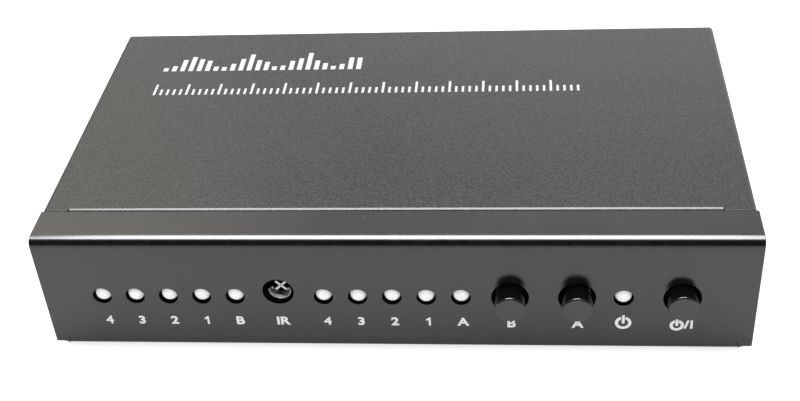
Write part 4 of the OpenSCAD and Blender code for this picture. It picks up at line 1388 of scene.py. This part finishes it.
inner = [SCREEN_WINDOW, SCREEN_THROAT, SCREEN_MOUTH]
outer = [(radius + SCREEN, height, fillet) for radius, height, fillet in reversed(inner)]
mouth_r, mouth_h, _ = SCREEN_MOUTH
window_r = SCREEN_WINDOW[0] + SCREEN
lip_front = mouth_h - SCREEN_SET_BACK
lip_corners = [(window_r, -EYE_EDGE, 0), (LIP_OUTSIDE, -EYE_EDGE, 0), (LIP_OUTSIDE, lip_front, 0),
               (mouth_r + SCREEN, lip_front, 0), *outer[1:], (window_r, -EYE_EDGE, 0)]
lip_place = [(ir_middle.x + EYE_ASIDE, eye_base, ir_middle.z)]
eye_lip = turned("lip", lip_corners, lip_place, FORWARD, resin)
cut_at = ir_middle.z + EYE_CUT
eye_mesh = joined("eye", [dome, body, cut_above(eye_lip, cut_at)])
settle("infrared_eye", eye_mesh, "case", resin, ["ir_receiver"])
print("eye:", len(eye_mesh.polygons), "faces")

# %% Tin screen
BAR_SIZE = Vector((2.7, 0.12, 0.48))
BAR_TURN = math.radians(40)
BAR_LEAN = math.radians(12)
BAR_EDGE = 0.04

smile = turned("funnel", inner + outer + inner[:1], lip_place, FORWARD, finishes["bright_tin"])
screen = [cut_above(smile, cut_at)]
middle = Vector((ir_middle.x + EYE_ASIDE, eye_base - SCREEN_WINDOW[1], ir_middle.z)) * MM
lean = Matrix.Translation(middle) @ Matrix.Rotation(-BAR_LEAN, 4, "X")
for turn in (BAR_TURN, -BAR_TURN):
    bar = block("bar", -BAR_SIZE / 2, BAR_SIZE / 2, BAR_EDGE)
    bar.transform(lean @ Matrix.Rotation(turn, 4, "Y"))
    screen.append(bar)
settle("infrared_eye_screen", joined("screen", screen), "case", finishes["bright_tin"])
print("tin screen:", len(screen), "parts")

# %% [markdown]
# ## Moulded sockets and screws
# The sockets, their shutters, the power socket and the case screws already have the right shape in the
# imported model, but moulds and dies leave a small radius on every edge. Their meshes are loose triangles,
# so a copy is merged and cleared of flat edges before its corners are rounded. Each shutter rides on its
# own flap.

# %% Soften copies of moulded pieces
MOULD_EDGE = 0.12


def soften(node):
    """Sets a copy of a node with rounded edges in its place."""
    mesh = bpy.data.meshes.new(node)
    with open_mesh(mesh, nodes[node].data) as bm:
        bmesh.ops.remove_doubles(bm, verts=bm.verts, dist=MERGE)
        bmesh.ops.dissolve_limit(bm, angle_limit=SMALL_ANGLE, verts=bm.verts, edges=bm.edges)
    slot = slot_of[node]
    mesh = rounded(mesh, MOULD_EDGE * MM)
    settle(node + "_softened", mesh, nodes[node]["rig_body"], finishes[slot], [node])


moulded = sockets + ["dc_jack", "dc_jack_pin", "cover_screws"] + [n + "_shutter" for n in sockets]
for node in moulded:
    soften(node)
print("softened", len(moulded), "pieces")

# %% [markdown]
# ## Print
# The legends are screen printed in white: plain figures and letters under the lamps, a stand-by sign by
# the power button, and a decoration of level bars over a ruled scale on the cover. Ink has thickness, so
# each is a film a few hundredths of a millimetre high. Figures start as text and signs as flat outlines;
# both become a mesh before they are set in place.

# %% Films of ink from letters and outlines
FILM = 0.018
LETTER_STEPS = 4
FIGURE_HEIGHT = 2.0
FIGURE_STRETCH = 1.1


def lettering(words, bold):
    """Words as a flat film round the origin."""
    text = bpy.data.curves.new("lettering", "FONT")
    text.body = words
    text.align_x = "CENTER"
    text.offset = bold
    text.extrude = FILM
    text.resolution_u = LETTER_STEPS
    mesh = plain_mesh(link("lettering", text))
    tops = [v.co.y for v in mesh.vertices]
    size = FIGURE_HEIGHT * MM / (max(tops) - min(tops))
    sides = [v.co.x for v in mesh.vertices]
    centre = Vector(((max(sides) + min(sides)) / 2, (max(tops) + min(tops)) / 2, 0))
    mesh.transform(Matrix.Translation(-centre))
    mesh.transform(Matrix.Diagonal((size * FIGURE_STRETCH, size, MM, 1)))
    return mesh


def film(loops):
    """Flat closed outlines, in millimetres, as a film round the origin."""
    mesh = bpy.data.meshes.new("film")
    with open_mesh(mesh) as bm:
        for loop in loops:
            face = bm.faces.new([bm.verts.new((x * MM, y * MM, -FILM * MM)) for x, y in loop])
            raised = bmesh.ops.extrude_face_region(bm, geom=[face])["geom"]
            verts = [v for v in raised if isinstance(v, bmesh.types.BMVert)]
            bmesh.ops.translate(bm, vec=(0, 0, 2 * FILM * MM), verts=verts)
    return outward(mesh)


print("ink films of", 2 * FILM, "mm")

# %% Figures and their places
BOLD = 0.035
BOLD_FOUR = 0.018
ONE = [(-0.08, -1), (0.32, -1), (0.32, 1), (0.02, 1), (-0.55, 0.55), (-0.55, 0.15), (-0.08, 0.45)]
ON_FRONT = Matrix.Rotation(math.pi / 2, 4, "X")
ON_REAR = Matrix.Rotation(math.pi, 4, "Z") @ ON_FRONT


def figure(name):
    """A letter or figure; the 1 is drawn, to give it a flag, and the 4 stays open inside."""
    if name == "1":
        return film([[(x * FIGURE_HEIGHT / 2, y * FIGURE_HEIGHT / 2) for x, y in ONE]])
    return lettering(name, BOLD_FOUR if name == "4" else BOLD)


def placed(mesh, place, turn):
    mesh.transform(Matrix.Translation(Vector(place) * MM) @ turn)
    return mesh


print("figures of", FIGURE_HEIGHT, "mm")

# %% A stand-by sign
SIGN_STEPS = 40
SIGN_GAP = math.radians(20)
SIGN_STROKE = 0.58
SIGN_BAR = 0.5
SIGN_BAR_ENDS = (-0.05, 0.62)


def stand_by_sign(size):
    """A ring that is open at the top, with a bar in the opening."""
    outside = size / 2
    hollow = outside - SIGN_STROKE
    angles = [math.pi / 2 + SIGN_GAP + (2 * math.pi - 2 * SIGN_GAP) * i / SIGN_STEPS
              for i in range(SIGN_STEPS + 1)]
    arc = [(outside * math.cos(a), outside * math.sin(a)) for a in angles]
    back = [(hollow * math.cos(a), hollow * math.sin(a)) for a in reversed(angles)]
    side = SIGN_BAR / 2
    foot, head = (share * size for share in SIGN_BAR_ENDS)
    return film([arc + back, [(-side, foot), (side, foot), (side, head), (-side, head)]])


print("sign of", SIGN_STEPS, "steps")

# %% Legends on the front
FIGURE_Z = 7.95
BUTTON_FIGURE_Z = 7.62
FIGURE_ASIDE = 0.25
LAMP_SIGN = 3.0
LAMP_SIGN_ASIDE = 0.15
BUTTON_SIGN = 2.6
BUTTON_SIGN_SHIFT = (-0.6, -0.2)
STROKES_ASIDE = 1.15
SLANT = [(-0.5, -1), (-0.07, -1), (0.5, 1), (0.07, 1)]
UPRIGHT = [(0.68, -1), (1.12, -1), (1.12, 1), (0.68, 1)]
legends = []


def legend(mesh, x, z):
    legends.append(placed(mesh, (x, front, z), ON_FRONT))


for row in ("b", "a"):
    for digit in ("4", "3", "2", "1"):
        legend(figure(digit), middle_of(f"led_{row}{digit}").x + FIGURE_ASIDE, FIGURE_Z)
    legend(figure(row.upper()), middle_of("led_" + row).x + FIGURE_ASIDE, FIGURE_Z)
    legend(figure(row.upper()), middle_of(f"button_{row}_cap").x + FIGURE_ASIDE, BUTTON_FIGURE_Z)
legend(figure("IR"), ir_middle.x + FIGURE_ASIDE, FIGURE_Z)
legend(stand_by_sign(LAMP_SIGN), middle_of("led_power").x + LAMP_SIGN_ASIDE, FIGURE_Z)
power_x = middle_of("button_power_cap").x
sign_aside, sign_up = BUTTON_SIGN_SHIFT
legend(stand_by_sign(BUTTON_SIGN), power_x + sign_aside, BUTTON_FIGURE_Z + sign_up)
legend(film([SLANT, UPRIGHT]), power_x + STROKES_ASIDE, BUTTON_FIGURE_Z)
settle("front_legends", joined("front_legends", legends), "case", ink)
print("legends:", len(legends))

# %% Figures over the rear sockets
REAR_FIGURE_Z = 22.0
rear_names = {f"optical_input_{i}": str(i) for i in range(1, 5)}
rear_names.update({"optical_output_a": "A", "optical_output_b": "B"})
rear_legends = [placed(figure(name), (middle_of(node).x, rear, REAR_FIGURE_Z), ON_REAR)
                for node, name in rear_names.items()]
settle("rear_legends", joined("rear_legends", rear_legends), "case", ink)
print("rear figures:", len(rear_legends))

# %% A tree for printed marks
def marks_recipe():
    recipe = Recipe("printed_marks", {
        "Places": "NodeSocketGeometry", "Width": "NodeSocketFloat", "Film": "NodeSocketFloat",
        "Finish": "NodeSocketMaterial"})
    bar = recipe.node("GeometryNodeMeshCube")
    tall = recipe.node("GeometryNodeInputNamedAttribute", {"data_type": "FLOAT"}, {"Name": "height"})
    size = recipe.node("ShaderNodeCombineXYZ", inputs={
        "X": recipe.ask("Width"), "Y": tall, "Z": recipe.ask("Film")})
    recipe.serve(recipe.node("GeometryNodeInstanceOnPoints", inputs={
        "Points": recipe.ask("Places"), "Instance": bar, "Scale": size}))
    return recipe


marks = marks_recipe()
print("recipe for marks:", len(marks.tree.nodes), "nodes")

# %% Bars and ticks on the cover
BAR_ROW = (-54.2, 23.4)
BAR_PITCH = 1.85
BAR_WIDTH = 1.05
BAR_COUNT = 24
BAR_HEIGHTS = (1.4, 7.2)
BAR_WAVE = 0.47
BAR_RIPPLE = 1.3
RIPPLE_DEPTH = 0.4
TICK_ROW = (-54.3, 13.7)
TICK_PITCH = 1.4
TICK_WIDTH = 0.5
TICK_COUNT = 65
TICK_HEIGHTS = (2.2, 4.2)
TICK_GROUP = 5


def marks_row(name, row, pitch, width, heights):
    """Upright marks on one foot line, from a list of heights."""
    x, y = row
    places = [(x + width / 2 + i * pitch, y + tall / 2, top) for i, tall in enumerate(heights)]
    mesh = bare_points(name, places)
    layer = mesh.attributes.new("height", "FLOAT", "POINT")
    layer.data.foreach_set("value", [tall * MM for tall in heights])
    mesh = marks.make(name, mesh, {"Width": width * MM, "Film": 2 * FILM * MM, "Finish": ink})
    return settle(name, mesh, "case", ink)


def bar_height(i):
    """A slow wave with a quicker ripple on it, like the levels of music."""
    low, high = BAR_HEIGHTS
    ripple = 1 - RIPPLE_DEPTH * math.sin(BAR_RIPPLE * i) ** 2
    return low + (high - low) * math.sin(BAR_WAVE * i) ** 2 * ripple


bars = [bar_height(i) for i in range(BAR_COUNT)]
ticks = [TICK_HEIGHTS[i % TICK_GROUP == 0] for i in range(TICK_COUNT)]
marks_row("cover_level_bars", BAR_ROW, BAR_PITCH, BAR_WIDTH, bars)
marks_row("cover_scale_ticks", TICK_ROW, TICK_PITCH, TICK_WIDTH, ticks)
print("marks on the cover:", BAR_COUNT + TICK_COUNT)
